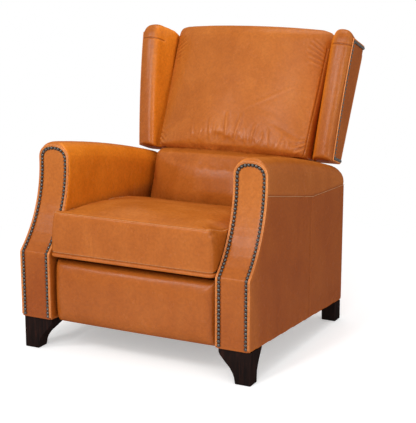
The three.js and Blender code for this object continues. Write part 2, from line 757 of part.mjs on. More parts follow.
// The front face of a back cushion, from its bottom to its top.
function frontFace(form, top, share) {
  const height = top - form.bottom;
  return form.humpShares.map(([up, hump]) => {
    const edge = form.edgeBottom + (form.edgeTop - form.edgeBottom) * up;
    const swell = form.crown * hump * (1 - Math.abs(share) ** 2.4);
    const w = form.bottom + height * up;
    return [-edge - swell + roundOff(w - form.bottom, form.corner), w];
  });
}

function buildBackFrame() {
  const postOuter = postInner + back.postWidth;
  const railBottom = back.height - back.railHeight;
  placePair('back_post', box(postInner, postOuter, -back.postFront, shellFront, 0, railBottom - joint),
    plywood, leaningBack);
  place('back_top_rail', box(-postOuter, postOuter, -back.postFront, shellFront, railBottom, back.height), plywood,
    leaningBack);
  const bracketInner = layerAt(1);
  place('back_bottom_rail', box(joint - bracketInner, bracketInner - joint, -back.postFront, shellFront,
    back.lowRail, back.lowRail + back.railHeight), plywood, leaningBack);

  // Hinge bracket from the seat's pivot up the inner face of each post.
  const fromFootY = pivotY - backFootY;
  const fromFootZ = pivot.z - back.foot;
  const hinge = [fromFootY * Math.cos(lean) - fromFootZ * Math.sin(lean),
    fromFootY * Math.sin(lean) + fromFootZ * Math.cos(lean)];
  const arms = alongX([[hinge[0] - plate.tailRadius, hinge[1]], [hinge[0], hinge[1] - plate.tailRadius],
    [-pivot.bracketRear, 0], [-pivot.bracketRear, pivot.bracketTop], [-pivot.bracketFront, pivot.bracketTop],
    [-pivot.bracketFront, 0]], bracketInner, bracketInner + layer.thickness);
  const disc = rodX(plate.tailRadius, bracketInner, bracketInner + layer.thickness, ...hinge);
  placePair('back_bracket', join(arms, disc, ...rivet(hinge, 1, 0, pivot.pin)), steel, leaningBack);

  const start = back.lowRail + back.railHeight / 2;
  const end = back.height - back.railHeight / 2;
  const near = -back.postFront - wire.clearance;
  const wires = springWires(start, end, (shape) => alongY(shape, near - wire.thickness, near));
  const reach = (wireSpacing * (wire.count - 1)) / 2 + wire.swing / 2;
  const ties = wire.tieShares.map((share) => {
    const w = start + (end - start) * share;
    return box(-reach, reach, near - wire.thickness / 2, near + wire.thickness / 2, w, w + wire.tie);
  });
  place('back_springs', join(...wires, ...ties), springSteel, leaningBack);
}

function buildBackCushions() {
  place('lumbar_cushion', stuffed(2 * (armInner - lumbar.sideGap), (share, edge) => {
    const side = roundOff(edge, lumbar.corner);
    const face = frontFace(lumbar, lumbar.top, share)
      .map(([v, w]) => [v + side + roundOff(lumbar.top - w, lumbar.corner), w]);
    return [[-cushionRear, lumbar.bottom], ...face, [-cushionRear, lumbar.top]];
  }), leather, leaningBack);

  // The upper cushion rolls over the top rail. The roll's height is set by
  // the height of the whole chair.
  const rollFront = cushion.edgeTop + cushion.crown;
  const radius = (rollFront - cushion.wrap) / 2;
  const centre = -(rollFront + cushion.wrap) / 2;
  const shoulder = (overall.height - back.foot - radius + centre * Math.sin(lean)) / Math.cos(lean);
  const width = 2 * (armInner - cushion.sideGap);
  const form = loft(acrossShares.map((share) => {
    const edge = (1 - Math.abs(share)) * (width / 2);
    const side = roundOff(edge, cushion.corner);
    const face = frontFace(cushion, shoulder, share).map(([v, w]) => [v + side, w]);
    const front = -face.at(-1)[0];
    const half = (front - cushion.wrap) / 2;
    const rise = radius - roundOff(edge, cushion.topCorner) / 2;
    const angles = [...[0.25, 0.5, 0.75].map((part) => 180 - (90 - back.lean) * part), 90 + back.lean,
      ...[0.25, 0.5, 0.75, 1].map((part) => (90 + back.lean) * (1 - part))];
    const roll = angles.map((angle) => [-(front + cushion.wrap) / 2 + half * Math.cos(rad(angle)),
      shoulder + rise * Math.sin(rad(angle))]);
    return [...face, ...roll, [-cushion.wrap, cushion.bottom]]
      .map(([v, w]) => new THREE.Vector3((share * flared(width, w)) / 2, v, w));
  }));
  const frameHalf = postInner + back.postWidth + joint;
  const frameRoom = box(-frameHalf, frameHalf, -cushionRear, overrun, -overrun,
    back.height + joint);
  place('back_cushion', cut(form, frameRoom), leather, leaningBack);

  const half = armInner - back.sideGap;
  const top = back.height;
  const edge = [];
  for (const share of [0, 0.5, 1]) {
    const w = wing.bottom + (top - back.shellCorner - wing.bottom) * share;
    edge.push([wingOuter(w), w]);
  }
  const corner = arc(wingOuter(top) - back.shellCorner, top - back.shellCorner, back.shellCorner, 0, 90, 4).slice(1);
  const right = [[half, 0], [half, wing.bottom], ...edge, ...corner];
  const outline = [...right, ...right.map(([x, w]) => [-x, w]).reverse()];
  place('outside_back', alongY(outline, -back.shellThickness, 0), leather, leaningBack);
}

function buildWings() {
  const rings = [];
  const heights = [0, 0.12, 0.25, 0.4, 0.55, 0.7, 0.82, 0.91, 0.95, 0.98, 1];
  for (const share of heights) {
    const w = wing.bottom + (wing.crest - wing.bottom) * share;
    const pull = roundOff(wing.crest - w, wing.corner);
    const innerRear = flared(armInner - cushion.sideGap, w) + wing.innerGap;
    const outer = wingOuter(w) - pull * wing.domeShares[0];
    const front = wingFront(w) + pull * wing.domeShares[2];
    const rollInner = wingOuter(w) - wing.roll + pull * wing.domeShares[1];
    const radius = Math.min(wing.rollRadius, (outer - rollInner) / 2 - joint);
    const slope = Math.max(w - wing.nailTop - trim.width, 0) * wing.rearSlopeShare;
    rings.push([[Math.max(outer - slope, rollInner), shellFront], ...arc(outer - radius, front + radius, radius, 0, -90, 4),
      ...arc(rollInner + radius, front + radius, radius, -90, -180, 4),
      [innerRear + pull * wing.domeShares[1], -wing.innerTurn],
      [innerRear + pull * wing.domeShares[1], shellFront]].map(([x, v]) => new THREE.Vector3(x, v, w)));
  }
  const crestFront = -wing.frontTop;
  const side = [[shellFront, wing.bottom], [-wing.frontBottom + wing.corner / 2, wing.bottom],
    [crestFront, wing.bottom + wing.corner / 2],
    ...arc(crestFront + wing.corner, wing.crest - wing.corner, wing.corner, 180, 90, 4),
    [shellFront, wing.crestRear]];
  const x = wingOuterBottom - wing.boardInset;
  const boardLow = wing.bottom + wing.boardMargin;
  const boardHigh = wing.crestRear - wing.boardMargin;
  const boardOutline = (grow) => [[overrun * Math.sign(grow) + shellFront, boardLow - grow],
    [-wing.boardFront - grow, boardLow - grow], [-wing.boardFront - grow, boardHigh - wing.corner],
    [-wing.boardFront + wing.corner, boardHigh + grow], [overrun * Math.sign(grow) + shellFront, boardHigh + grow]];
  const pocket = alongX(boardOutline(joint), x - joint, x + wing.boardThickness + joint);
  placePair('wing_pad', cut(common(loft(rings), alongX(side, armInner, overall.width / 2)), pocket), leather,
    leaningBack);
  placePair('wing_board', alongX(boardOutline(0), x, x + wing.boardThickness), plywood, leaningBack);

  // The nailhead strip lies on the flared outer face.
  const h = trim.width / 2;
  const low = wing.bottom + wing.nailBottomInset;
  const high = wing.nailTop;
  const rear = shellFront - wing.innerGap;
  const path = (offset, from, to) => {
    const points = [];
    for (const share of [0, 0.15, 0.3, 0.5, 0.75, 1]) {
      const w = from + (to - from) * share;
      points.push([wingFront(w) + wing.nailInset + offset, w]);
    }
    return points;
  };
  const band = alongX([[rear, low - h], ...path(-h, low - h, high + h), [rear, high + h], [rear, high - h],
    ...path(h, high - h, low + h), [rear, low + h]], joint, joint + trim.thickness);
  const slope = (wingOuterTop - wingOuterBottom) / (wing.flareTop - wing.bottom);
  const shear = new THREE.Matrix4().set(1, 0, slope, wingOuterBottom - slope * wing.bottom,
    0, 1, 0, 0, 0, 0, 1, 0, 0, 0, 0, 1);
  placePair('wing_nail_trim', band.applyMatrix4(shear), antiqueBrass, leaningBack);
}

leaningBack.position.set(0, backFootY, back.foot);
leaningBack.rotation.x = -lean;

buildArm();
buildBase();
buildSeat();
buildFootrest();
buildBackFrame();
buildBackCushions();
buildWings();

export default recliner;
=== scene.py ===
import math

import bmesh
import bpy
import numpy as np
from mathutils import Matrix, Vector
from mathutils.bvhtree import BVHTree
from mathutils.kdtree import KDTree


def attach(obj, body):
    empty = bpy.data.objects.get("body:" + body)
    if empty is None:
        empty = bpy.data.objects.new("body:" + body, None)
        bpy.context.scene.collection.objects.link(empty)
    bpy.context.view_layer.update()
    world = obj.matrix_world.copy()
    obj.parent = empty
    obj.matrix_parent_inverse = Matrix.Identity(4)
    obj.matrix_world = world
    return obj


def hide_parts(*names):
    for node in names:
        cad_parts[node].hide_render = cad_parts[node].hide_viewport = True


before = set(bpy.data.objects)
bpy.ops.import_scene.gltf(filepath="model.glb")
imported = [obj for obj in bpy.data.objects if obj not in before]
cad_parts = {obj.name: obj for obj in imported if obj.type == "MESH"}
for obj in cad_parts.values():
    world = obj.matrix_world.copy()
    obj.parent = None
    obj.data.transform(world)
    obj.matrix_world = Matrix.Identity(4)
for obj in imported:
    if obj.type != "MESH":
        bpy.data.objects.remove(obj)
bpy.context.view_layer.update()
scene = bpy.context.scene
SIDES = (("left", 1), ("right", -1))


# The chair is seen from the sitter's front left, from about 1.2 m above the
# floor, through a long lens.
CAMERA_AZIMUTH = math.radians(27.1)
CAMERA_ELEVATION = math.radians(12.3)
CAMERA_DISTANCE = 3.6871
CAMERA_TARGET = Vector((0.0343, 0.0, 0.3993))
CAMERA_LENS = 94.63
SENSOR_WIDTH = 36


def placed(name, data):
    """A new object in the scene."""
    made = bpy.data.objects.new(name, data)
    scene.collection.objects.link(made)
    return made


camera_data = bpy.data.cameras.new("camera")
camera_data.lens = CAMERA_LENS
camera_data.sensor_width = SENSOR_WIDTH
camera = placed("camera", camera_data)
away = Vector((math.sin(CAMERA_AZIMUTH) * math.cos(CAMERA_ELEVATION),
               -math.cos(CAMERA_AZIMUTH) * math.cos(CAMERA_ELEVATION), math.sin(CAMERA_ELEVATION)))
camera.location = CAMERA_TARGET + away * CAMERA_DISTANCE
camera.rotation_euler = away.to_track_quat("Z", "Y").to_euler()
scene.camera = camera


# A white studio: a seamless white floor that keeps the chair's shadow, white
# surroundings, and five soft lamps: two high in front, a tall narrow one
# between them, and one each to the side and overhead.
WHITE = (1, 1, 1, 1)
ROOM_LIGHT = 0.5
FLOOR_HALF = 14
FLOOR_DROP = 0.0006
FLOOR_COLOUR = (0.86, 0.86, 0.86, 1)
FLOOR_GLOW = 0.36
WHITE_FROM, WHITE_TO = 0.85, 1.7
LAMPS_AIM = Vector((0, 0, 0.45))
def add_node(tree, kind, values=None, **settings):
    node = tree.nodes.new(kind)
    for key, value in settings.items():
        setattr(node, key, value)
    for key, value in (values or {}).items():
        node.inputs[key].default_value = value
    return node


def seen_directly(tree):
    """1 for rays from the camera, in mirrors and through glass, else 0."""
    path = add_node(tree, "ShaderNodeLightPath")
    first = add_node(tree, "ShaderNodeMath", operation="MAXIMUM")
    both = add_node(tree, "ShaderNodeMath", operation="MAXIMUM")
    tree.links.new(path.outputs["Is Camera Ray"], first.inputs[0])
    tree.links.new(path.outputs["Is Glossy Ray"], first.inputs[1])
    tree.links.new(first.outputs[0], both.inputs[0])
    tree.links.new(path.outputs["Is Transmission Ray"], both.inputs[1])
    return both.outputs[0]


def shader_mix(tree, factor, *shaders):
    node = add_node(tree, "ShaderNodeMixShader")
    for socket, source in zip(node.inputs, (factor, *shaders)):
        tree.links.new(source, socket)
    return node.outputs[0]


world = bpy.data.worlds.new("studio")
world.use_nodes = True
scene.world = world
sky = world.node_tree
sky.nodes.clear()
backdrop = add_node(sky, "ShaderNodeBackground", {"Color": WHITE, "Strength": 1.0})
room_light = add_node(sky, "ShaderNodeBackground", {"Color": WHITE, "Strength": ROOM_LIGHT})
around = shader_mix(sky, seen_directly(sky), room_light.outputs[0], backdrop.outputs[0])
sky.links.new(around, add_node(sky, "ShaderNodeOutputWorld").inputs[0])

floor_mesh = bpy.data.meshes.new("floor")
floor_mesh.from_pydata([(x * FLOOR_HALF, y * FLOOR_HALF, 0) for x, y in ((-1, -1), (1, -1), (1, 1), (-1, 1))],
                       [], [(0, 1, 2, 3)])
floor = placed("floor", floor_mesh)
floor.location.z = -FLOOR_DROP
floor_paint = bpy.data.materials.new("studio_floor")
floor_paint.use_nodes = True
paint = floor_paint.node_tree
paint.nodes.clear()
matt = add_node(paint, "ShaderNodeBsdfDiffuse", {"Color": FLOOR_COLOUR})
glow = add_node(paint, "ShaderNodeEmission", {"Color": WHITE, "Strength": FLOOR_GLOW})
white = add_node(paint, "ShaderNodeEmission", {"Color": WHITE, "Strength": 1.0})
bare = add_node(paint, "ShaderNodeAddShader")
paint.links.new(matt.outputs[0], bare.inputs[0])
paint.links.new(glow.outputs[0], bare.inputs[1])
spread = add_node(paint, "ShaderNodeVectorMath", operation="LENGTH")
paint.links.new(add_node(paint, "ShaderNodeTexCoord").outputs["Object"], spread.inputs[0])
fade = add_node(paint, "ShaderNodeMapRange", {"From Min": WHITE_FROM, "From Max": WHITE_TO},
                interpolation_type="SMOOTHSTEP")
paint.links.new(spread.outputs["Value"], fade.inputs["Value"])
far = shader_mix(paint, fade.outputs[0], bare.outputs[0], white.outputs[0])
seen_floor = shader_mix(paint, seen_directly(paint), matt.outputs[0], far)
paint.links.new(seen_floor, add_node(paint, "ShaderNodeOutputMaterial").inputs[0])
floor.data.materials.append(floor_paint)

for lamp, spot, wide, high, power in (("left_lamp", (-1.7, -2.8, 2.7), 0.7, 0.7, 29),
                                      ("right_lamp", (1.0, -2.7, 2.8), 1.4, 1.4, 22),
                                      ("tall_lamp", (-0.1, -3.1, 1.9), 0.32, 1.7, 34),
                                      ("side_lamp", (3.2, -1.9, 1.7), 1.3, 1.3, 26),
                                      ("top_lamp", (0.2, 0.9, 3.3), 1.8, 1.8, 29)):
    lamp_data = bpy.data.lights.new(lamp, "AREA")
    lamp_data.shape = "RECTANGLE"
    lamp_data.size = wide
    lamp_data.size_y = high
    lamp_data.energy = power
    lamp_object = placed(lamp, lamp_data)
    lamp_object.location = spot
    lamp_object.rotation_euler = (Vector(spot) - LAMPS_AIM).to_track_quat("Z", "Y").to_euler()


# Four solid wood feet, stained a near-black espresso with a red undertone and
# lacquered. The front pair flares up to the arm, and all are screwed on.
FOOT_EDGE = 0.0016
FLAT_WITHIN = math.radians(0.6)
SHARP_FROM = math.radians(35)
SHEEN_IOR = 4.0


def merged(name, nodes):
    """A new object from one or more solids, with their loose triangles joined."""
    bm = bmesh.new()
    for node in nodes:
        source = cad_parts[node]
        part = bmesh.new()
        part.from_mesh(source.data)
        part.transform(source.matrix_world)
        bmesh.ops.remove_doubles(part, verts=part.verts, dist=1e-5)
        holder = bpy.data.meshes.new("holder")
        part.to_mesh(holder)
        part.free()
        bm.from_mesh(holder)
        bpy.data.meshes.remove(holder)
    mesh = bpy.data.meshes.new(name)
    bm.to_mesh(mesh)
    bm.free()
    return placed(name, mesh)


def made_plain(piece):
    """Turns what the modifiers make into the piece's own mesh."""
    shown = piece.evaluated_get(bpy.context.evaluated_depsgraph_get())
    mesh = bpy.data.meshes.new_from_object(shown)
    piece.modifiers.clear()
    old = piece.data
    piece.data = mesh
    bpy.data.meshes.remove(old)
    mesh.name = piece.name
    return piece


def rounded_wood(name, node):
    piece = merged(name, [node])
    bm = bmesh.new()
    bm.from_mesh(piece.data)
    bmesh.ops.dissolve_limit(bm, angle_limit=FLAT_WITHIN, verts=bm.verts, edges=bm.edges)
    bm.to_mesh(piece.data)
    bm.free()
    bevel = piece.modifiers.new("eased edges", "BEVEL")
    bevel.width = FOOT_EDGE
    bevel.segments = 2
    bevel.angle_limit = SHARP_FROM
    return made_plain(piece)


def ramp(tree, factor, *stops):
    node = add_node(tree, "ShaderNodeValToRGB")
    while len(node.color_ramp.elements) < len(stops):
        node.color_ramp.elements.new(0.5)
    for element, (place, colour) in zip(node.color_ramp.elements, stops):
        element.position = place
        element.color = (*colour, 1)
    tree.links.new(factor, node.inputs[0])
    return node.outputs[0]


def on_object(tree, stretch=(1, 1, 1)):
    coordinates = add_node(tree, "ShaderNodeTexCoord")
    mapping = add_node(tree, "ShaderNodeMapping", {"Scale": stretch})
    tree.links.new(coordinates.outputs["Object"], mapping.inputs["Vector"])
    return mapping.outputs[0]


def noise(tree, place, scale, detail, roughness, distortion=0.0):
    node = add_node(tree, "ShaderNodeTexNoise", {"Scale": scale, "Detail": detail, "Roughness": roughness,
                                                 "Distortion": distortion})
    tree.links.new(place, node.inputs["Vector"])
    return node.outputs["Fac"]


def between(tree, factor, low, high):
    node = add_node(tree, "ShaderNodeMapRange", {"To Min": low, "To Max": high})
    tree.links.new(factor, node.inputs["Value"])
    return node.outputs[0]


def relief(tree, height, distance, strength, under=None):
    node = add_node(tree, "ShaderNodeBump", {"Distance": distance, "Strength": strength})
    tree.links.new(height, node.inputs["Height"])
    if under is not None:
        tree.links.new(under, node.inputs["Normal"])
    return node.outputs[0]


def multiplied(tree, factor, colour, by):
    node = add_node(tree, "ShaderNodeMix", {"Factor": factor}, data_type="RGBA", blend_type="MULTIPLY")
    tree.links.new(colour, node.inputs["A"])
    tree.links.new(by, node.inputs["B"])
    return node.outputs["Result"]


def new_finish(name, **values):
    material = bpy.data.materials.new(name)
    material.use_nodes = True
    shader = material.node_tree.nodes["Principled BSDF"]
    for key, value in values.items():
        shader.inputs[key.replace("_", " ")].default_value = value
    return material, material.node_tree, shader


def feed(shader, **sources):
    """Links what varies over the surface to the shader's sockets."""
    for key, source in sources.items():
        shader.id_data.links.new(source, shader.inputs[key.replace("_", " ")])


def stained_wood():
    """The lacquer's sheen is a faint coat that reflects evenly at all angles."""
    material, tree, shader = new_finish("espresso_stained_wood", Specular_IOR_Level=0.0, Coat_Weight=0.014,
                                        Coat_IOR=SHEEN_IOR, Coat_Roughness=0.22)
    place = on_object(tree, (9, 9, 1))
    grain = noise(tree, place, 14, 7, 0.62, 0.5)
    pores = noise(tree, on_object(tree, (60, 60, 3)), 30, 3, 0.5)
    colour = ramp(tree, grain, (0.32, (0.0045, 0.0025, 0.0022)), (0.55, (0.0125, 0.0048, 0.0036)),
                  (0.72, (0.028, 0.0088, 0.0060)))
    feed(shader, Base_Color=colour, Roughness=between(tree, pores, 0.26, 0.46),
         Normal=relief(tree, pores, 0.00025, 0.6))
    return material


espresso = stained_wood()
for end in ("front", "rear"):
    for side, sign in SIDES:
        foot = rounded_wood(f"foot_{end}_{side}_shaped", f"foot_{end}_{side}")
        foot.data.materials.append(espresso)
        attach(foot, "base")
        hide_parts(f"foot_{end}_{side}")


# Hidden wooden frame: boards and rails of birch plywood, sawn square and glued
# and screwed together, with the plies showing at the edges.
def birch_plywood():
    material, tree, shader = new_finish("birch_plywood")
    face = noise(tree, on_object(tree, (5, 40, 5)), 9, 6, 0.6, 0.8)
    plies = add_node(tree, "ShaderNodeTexWave", {"Scale": 60.0, "Distortion": 0.8, "Detail": 1.0},
                     bands_direction="X")
    tree.links.new(on_object(tree), plies.inputs["Vector"])
    wood = ramp(tree, face, (0.3, (0.40, 0.25, 0.125)), (0.7, (0.58, 0.41, 0.235)))
    feed(shader, Base_Color=multiplied(tree, 0.18, wood, plies.outputs["Color"]),
         Roughness=between(tree, face, 0.55, 0.8), Normal=relief(tree, face, 0.0004, 0.5))
    return material


def finish_nodes(material, *names):
    """Gives frame parts that keep their own shape a finish."""
    for name in names:
        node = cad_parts[name]
        if not node.material_slots:
            node.data.materials.append(material)
        for slot in node.material_slots:
            slot.material = material


def pair(name):
    return [f"{name}_left", f"{name}_right"]


plywood = birch_plywood()
finish_nodes(plywood, "front_stretcher", "seat_rear_rail", "footrest_board", "back_bottom_rail",
             *pair("arm_side_board"), *pair("arm_top_rail"), *pair("wing_board"))


# Frame parts that could show through a gap are covered with black lining
# cloth, glued on and stapled: the seat's front rail and the back's posts.
def lining_cloth():
    material, tree, shader = new_finish("black_lining_cloth", Specular_IOR_Level=0.1)
    weave = add_node(tree, "ShaderNodeTexWave", {"Scale": 300.0, "Distortion": 1.0},
                     bands_direction="DIAGONAL")
    tree.links.new(on_object(tree), weave.inputs["Vector"])
    fuzz = noise(tree, on_object(tree), 60, 4, 0.6)
    feed(shader, Base_Color=ramp(tree, fuzz, (0.3, (0.010, 0.008, 0.007)), (0.7, (0.022, 0.017, 0.014))),
         Roughness=between(tree, weave.outputs["Fac"], 0.8, 0.95),
         Normal=relief(tree, weave.outputs["Fac"], 0.0003, 0.5))
    return material


finish_nodes(lining_cloth(), "seat_front_rail", "back_top_rail", *pair("back_post"))


# Reclining mechanism and springs: stamped steel links with a dark zinc finish,
# riveted together, and drawn wire springs clipped to the rails.
def zinc_steel(name, dark, light, rough):
    material, tree, shader = new_finish(name, Metallic=0.92)
    blotch = noise(tree, on_object(tree), 45, 5, 0.6)
    scratch = noise(tree, on_object(tree, (1, 1, 14)), 160, 3, 0.5)
    feed(shader, Base_Color=ramp(tree, blotch, (0.3, dark), (0.7, light)),
         Roughness=between(tree, scratch, rough - 0.09, rough + 0.11),
         Normal=relief(tree, scratch, 0.00008, 0.5))
    return material


finish_nodes(zinc_steel("zinc_plated_links", (0.055, 0.057, 0.062), (0.13, 0.132, 0.138), 0.42),
             "footrest_drive_arms", *pair("glide_rail"), *pair("seat_side_plate"),
             *pair("footrest_rear_arm"), *pair("scissor_outer"), *pair("scissor_inner"),
             *pair("front_lower_arm"), *pair("front_upper_arm"), *pair("control_link"),
             *pair("footrest_bracket"), *pair("back_bracket"))
finish_nodes(zinc_steel("drawn_spring_wire", (0.10, 0.10, 0.105), (0.22, 0.22, 0.225), 0.36),
             "seat_springs", "back_springs")


# Arms: one cover of tan leather over foam and board on each side. It rolls
# over the arm, meets the outer panel in a top-stitched seam that dips towards
# the rear, and the outer panel has one upright seam at its middle.
ARM_MIDDLE = 0.344
ARM_OUTER = 0.400
ARM_FRONT = -0.452
ARM_GRID = 0.0046
ARM_BEND, ARM_TOP, ARM_SWEEP = 0.318, 0.590, 0.372
SIDE_SEAM = [(-0.333, 0.5475), (0.0122, 0.485), (0.3, 0.474)]
UPRIGHT_SEAM = [(0.004, 0.485), (0.0, 0.08)]
SEAM_BLEND = 0.003
BESIDE_SEAT = (0.40, 0.46)
NEAR_FRONT = (0.36, 0.44)
# Tones run from 0, darkest, to 1, brightest: each panel's own tone together with painted light and shade.
PLAIN_TONE = 0.5  # of 0 for the darkest panel to 1 for the brightest
WEAR_AND_SHADE_PER_BEND = 0.0075
FAR_AWAY = 9.0


def tan_leather(name, dark, middle, light):
    """Semi-aniline hide: clouded tan, with fine pores, faint growth lines and
    an even satin sheen. Painted shade darkens the folds, the edges are paler
    with wear and painted highlight, and each panel carries its tone together
    with painted light and shade."""
    material, tree, shader = new_finish(name, Specular_IOR_Level=0.0, Coat_Weight=0.05,
                                        Coat_IOR=SHEEN_IOR)
    place = on_object(tree)
    clouds = noise(tree, on_object(tree, (1, 1, 0.55)), 8.5, 6, 0.62, 0.3)
    flecks = noise(tree, place, 120, 4, 0.65)
    colour = multiplied(tree, 0.75, ramp(tree, clouds, (0.30, dark), (0.52, middle), (0.74, light)),
                        ramp(tree, flecks, (0.36, (0.84, 0.82, 0.80)), (0.62, (1.06, 1.06, 1.06))))
    # Painted shade in the folds, paler wear and painted highlight over the edges, then each panel's tone with
    # painted light and shade.
    for stored, low, high in (("wear_and_painted_light", (0.40, 0.28, 0.18), (1.42, 1.55, 1.75)),
                              ("panel_tone_and_painted_light", (0.58, 0.40, 0.20), (1.60, 1.60, 0.75))):
        value = add_node(tree, "ShaderNodeAttribute", attribute_name=stored)
        tone_and_painted_light = ramp(tree, value.outputs["Fac"], (0.0, low), (PLAIN_TONE, (1, 1, 1)), (1.0, high))
        colour = multiplied(tree, 1.0, colour, tone_and_painted_light)
    satin = between(tree, noise(tree, place, 24, 5, 0.6), 0.19, 0.33)
    pores = add_node(tree, "ShaderNodeTexVoronoi", {"Scale": 620.0, "Randomness": 1.0})
    tree.links.new(place, pores.inputs["Vector"])
    growth = noise(tree, on_object(tree, (1, 1, 0.35)), 75, 6, 0.62, 1.4)
    soft = relief(tree, noise(tree, place, 16, 3, 0.5), 0.0025, 0.35)
    lined = relief(tree, growth, 0.0006, 0.45, soft)
    grained = relief(tree, pores.outputs["Distance"], 0.00022, 0.55, lined)
    feed(shader, Base_Color=colour, Roughness=satin, Coat_Roughness=satin, Normal=grained,
         Coat_Normal=grained)
    return material


hide = tan_leather("tan_leather_hide", (0.40, 0.107, 0.0130), (0.455, 0.130, 0.0190), (0.50, 0.155, 0.0265))


def cover(name, nodes, grid, rounds, slant=None, widening=None):
    """A closed skin over one or more solids, in small even faces that run with
    the slant and the widening sides the piece is built on."""
    piece = merged(name, nodes)
    if slant is not None:
        piece.data.transform(slant.inverted())
    if widening is not None:
        points = places(piece)
        points[:, 0] /= widening(points[:, 2])
        set_places(piece, points)
    remesh = piece.modifiers.new("even faces", "REMESH")
    remesh.mode = "VOXEL"
    remesh.voxel_size = grid
    ease = piece.modifiers.new("eased", "SMOOTH")
    ease.factor = 0.5
    ease.iterations = rounds
    made_plain(piece)
    if widening is not None:
        points = places(piece)
        points[:, 0] *= widening(points[:, 2])
        set_places(piece, points)
    if slant is not None:
        piece.data.transform(slant)
    return piece


def rows_of(items, key):
    data = np.empty(len(items) * 3, np.float32)
    items.foreach_get(key, data)
    return data.reshape(-1, 3).astype(np.float64)


def places(piece):
    return rows_of(piece.data.vertices, "co")


def directions(piece):
    return rows_of(piece.data.vertex_normals, "vector")


def set_places(piece, points):
    piece.data.vertices.foreach_set("co", points.astype(np.float32).ravel())
    piece.data.update()


def step_up(values, low, high):
    share = np.clip((values - low) / (high - low), 0, 1)
    return share * share * (3 - 2 * share)


def refined(piece):
    split = piece.modifiers.new("finer", "SUBSURF")
    split.levels = split.render_levels = 1
    return made_plain(piece)


def neighbour_mean(piece):
    """Gives the edges' ends, and a function for the mean of each point's
    neighbours."""
    ends = np.empty(len(piece.data.edges) * 2, np.int32)
    piece.data.edges.foreach_get("vertices", ends)
    a, b = ends.reshape(-1, 2).T
    total = len(piece.data.vertices)
    count = np.maximum(np.bincount(a, minlength=total) + np.bincount(b, minlength=total), 1)

    def mean(values):
        if values.ndim == 2:
            return np.stack([mean(column) for column in values.T], 1)
        return (np.bincount(a, values[b], total) + np.bincount(b, values[a], total)) / count
    return a, b, mean


def eased(piece, rounds, where):
    """Smooths the surface, as much as where says, from 0 to 1."""
    mean = neighbour_mean(piece)[2]
    points = places(piece)
    for _ in range(rounds):
        points = points + 0.5 * (mean(points) - points) * where[:, None]
    set_places(piece, points)


def distance_to(path, points, reach):
    """How far each point is from a dense path, where it is nearer than reach."""
    box_low, box_high = path.min(0) - reach, path.max(0) + reach
    tree = KDTree(len(path))
    for i, p in enumerate(path):
        tree.insert(p, i)
    tree.balance()
    result = np.full(len(points), FAR_AWAY)
    near = np.all((points > box_low) & (points < box_high), 1)
    for i in np.nonzero(near)[0]:
        result[i] = tree.find(points[i])[2]
    return result


def dense(path, step=0.0015):
    """The same path in even short steps."""
    path = np.asarray(path, float)
    run = np.concatenate([[0], np.cumsum(np.linalg.norm(np.diff(path, axis=0), axis=1))])
    spots = np.linspace(0, run[-1], max(int(run[-1] / step), 2))
    return np.stack([np.interp(spots, run, path[:, k]) for k in range(3)], 1)


def sewn_in(piece, path, depth, width):
    """Draws the leather in along a seam."""
    points, out = places(piece), directions(piece)
    gap = distance_to(dense(path), points, width * 3)
    set_places(piece, points - out * (depth * np.exp(-(gap / width) ** 2))[:, None])


def keep_wear_and_painted_light(piece, material, tone_and_painted_light=PLAIN_TONE):
    """Stores how far each spot is folded in or stretched over an edge, which
    paints shade in the folds and paler wear with painted highlight over the
    edges, and how dark (0) or bright (1) the spot is painted: its panel's
    tone together with painted light and shade."""
    a, b, mean = neighbour_mean(piece)
    points, out = places(piece), directions(piece)
    length = np.linalg.norm(points[a] - points[b], axis=1).mean()
    bend = -np.einsum("ij,ij->i", mean(points) - points, out) / length ** 2
    for _ in range(4):
        bend = 0.5 * bend + 0.5 * mean(bend)
    wear_and_painted_light = np.clip(0.5 + bend * WEAR_AND_SHADE_PER_BEND, 0, 1)
    tones_and_painted_light = np.broadcast_to(np.asarray(tone_and_painted_light, np.float32), wear_and_painted_light.shape).copy()
    for stored, values in (("wear_and_painted_light", wear_and_painted_light.astype(np.float32)), ("panel_tone_and_painted_light", tones_and_painted_light)):
        piece.data.attributes.new(stored, "FLOAT", "POINT").data.foreach_set("value", values)
    piece.data.materials.clear()
    piece.data.materials.append(material)
    piece.data.shade_smooth()


def arm_front_y(z):
    """Depth of the arm's front face at a height: upright, then a hollow sweep."""
    centre = ARM_FRONT - math.sqrt(ARM_SWEEP ** 2 - (ARM_TOP - ARM_BEND) ** 2)
    z = min(max(z, ARM_BEND), ARM_TOP)
    return centre + math.sqrt(ARM_SWEEP ** 2 - (ARM_TOP - z) ** 2)


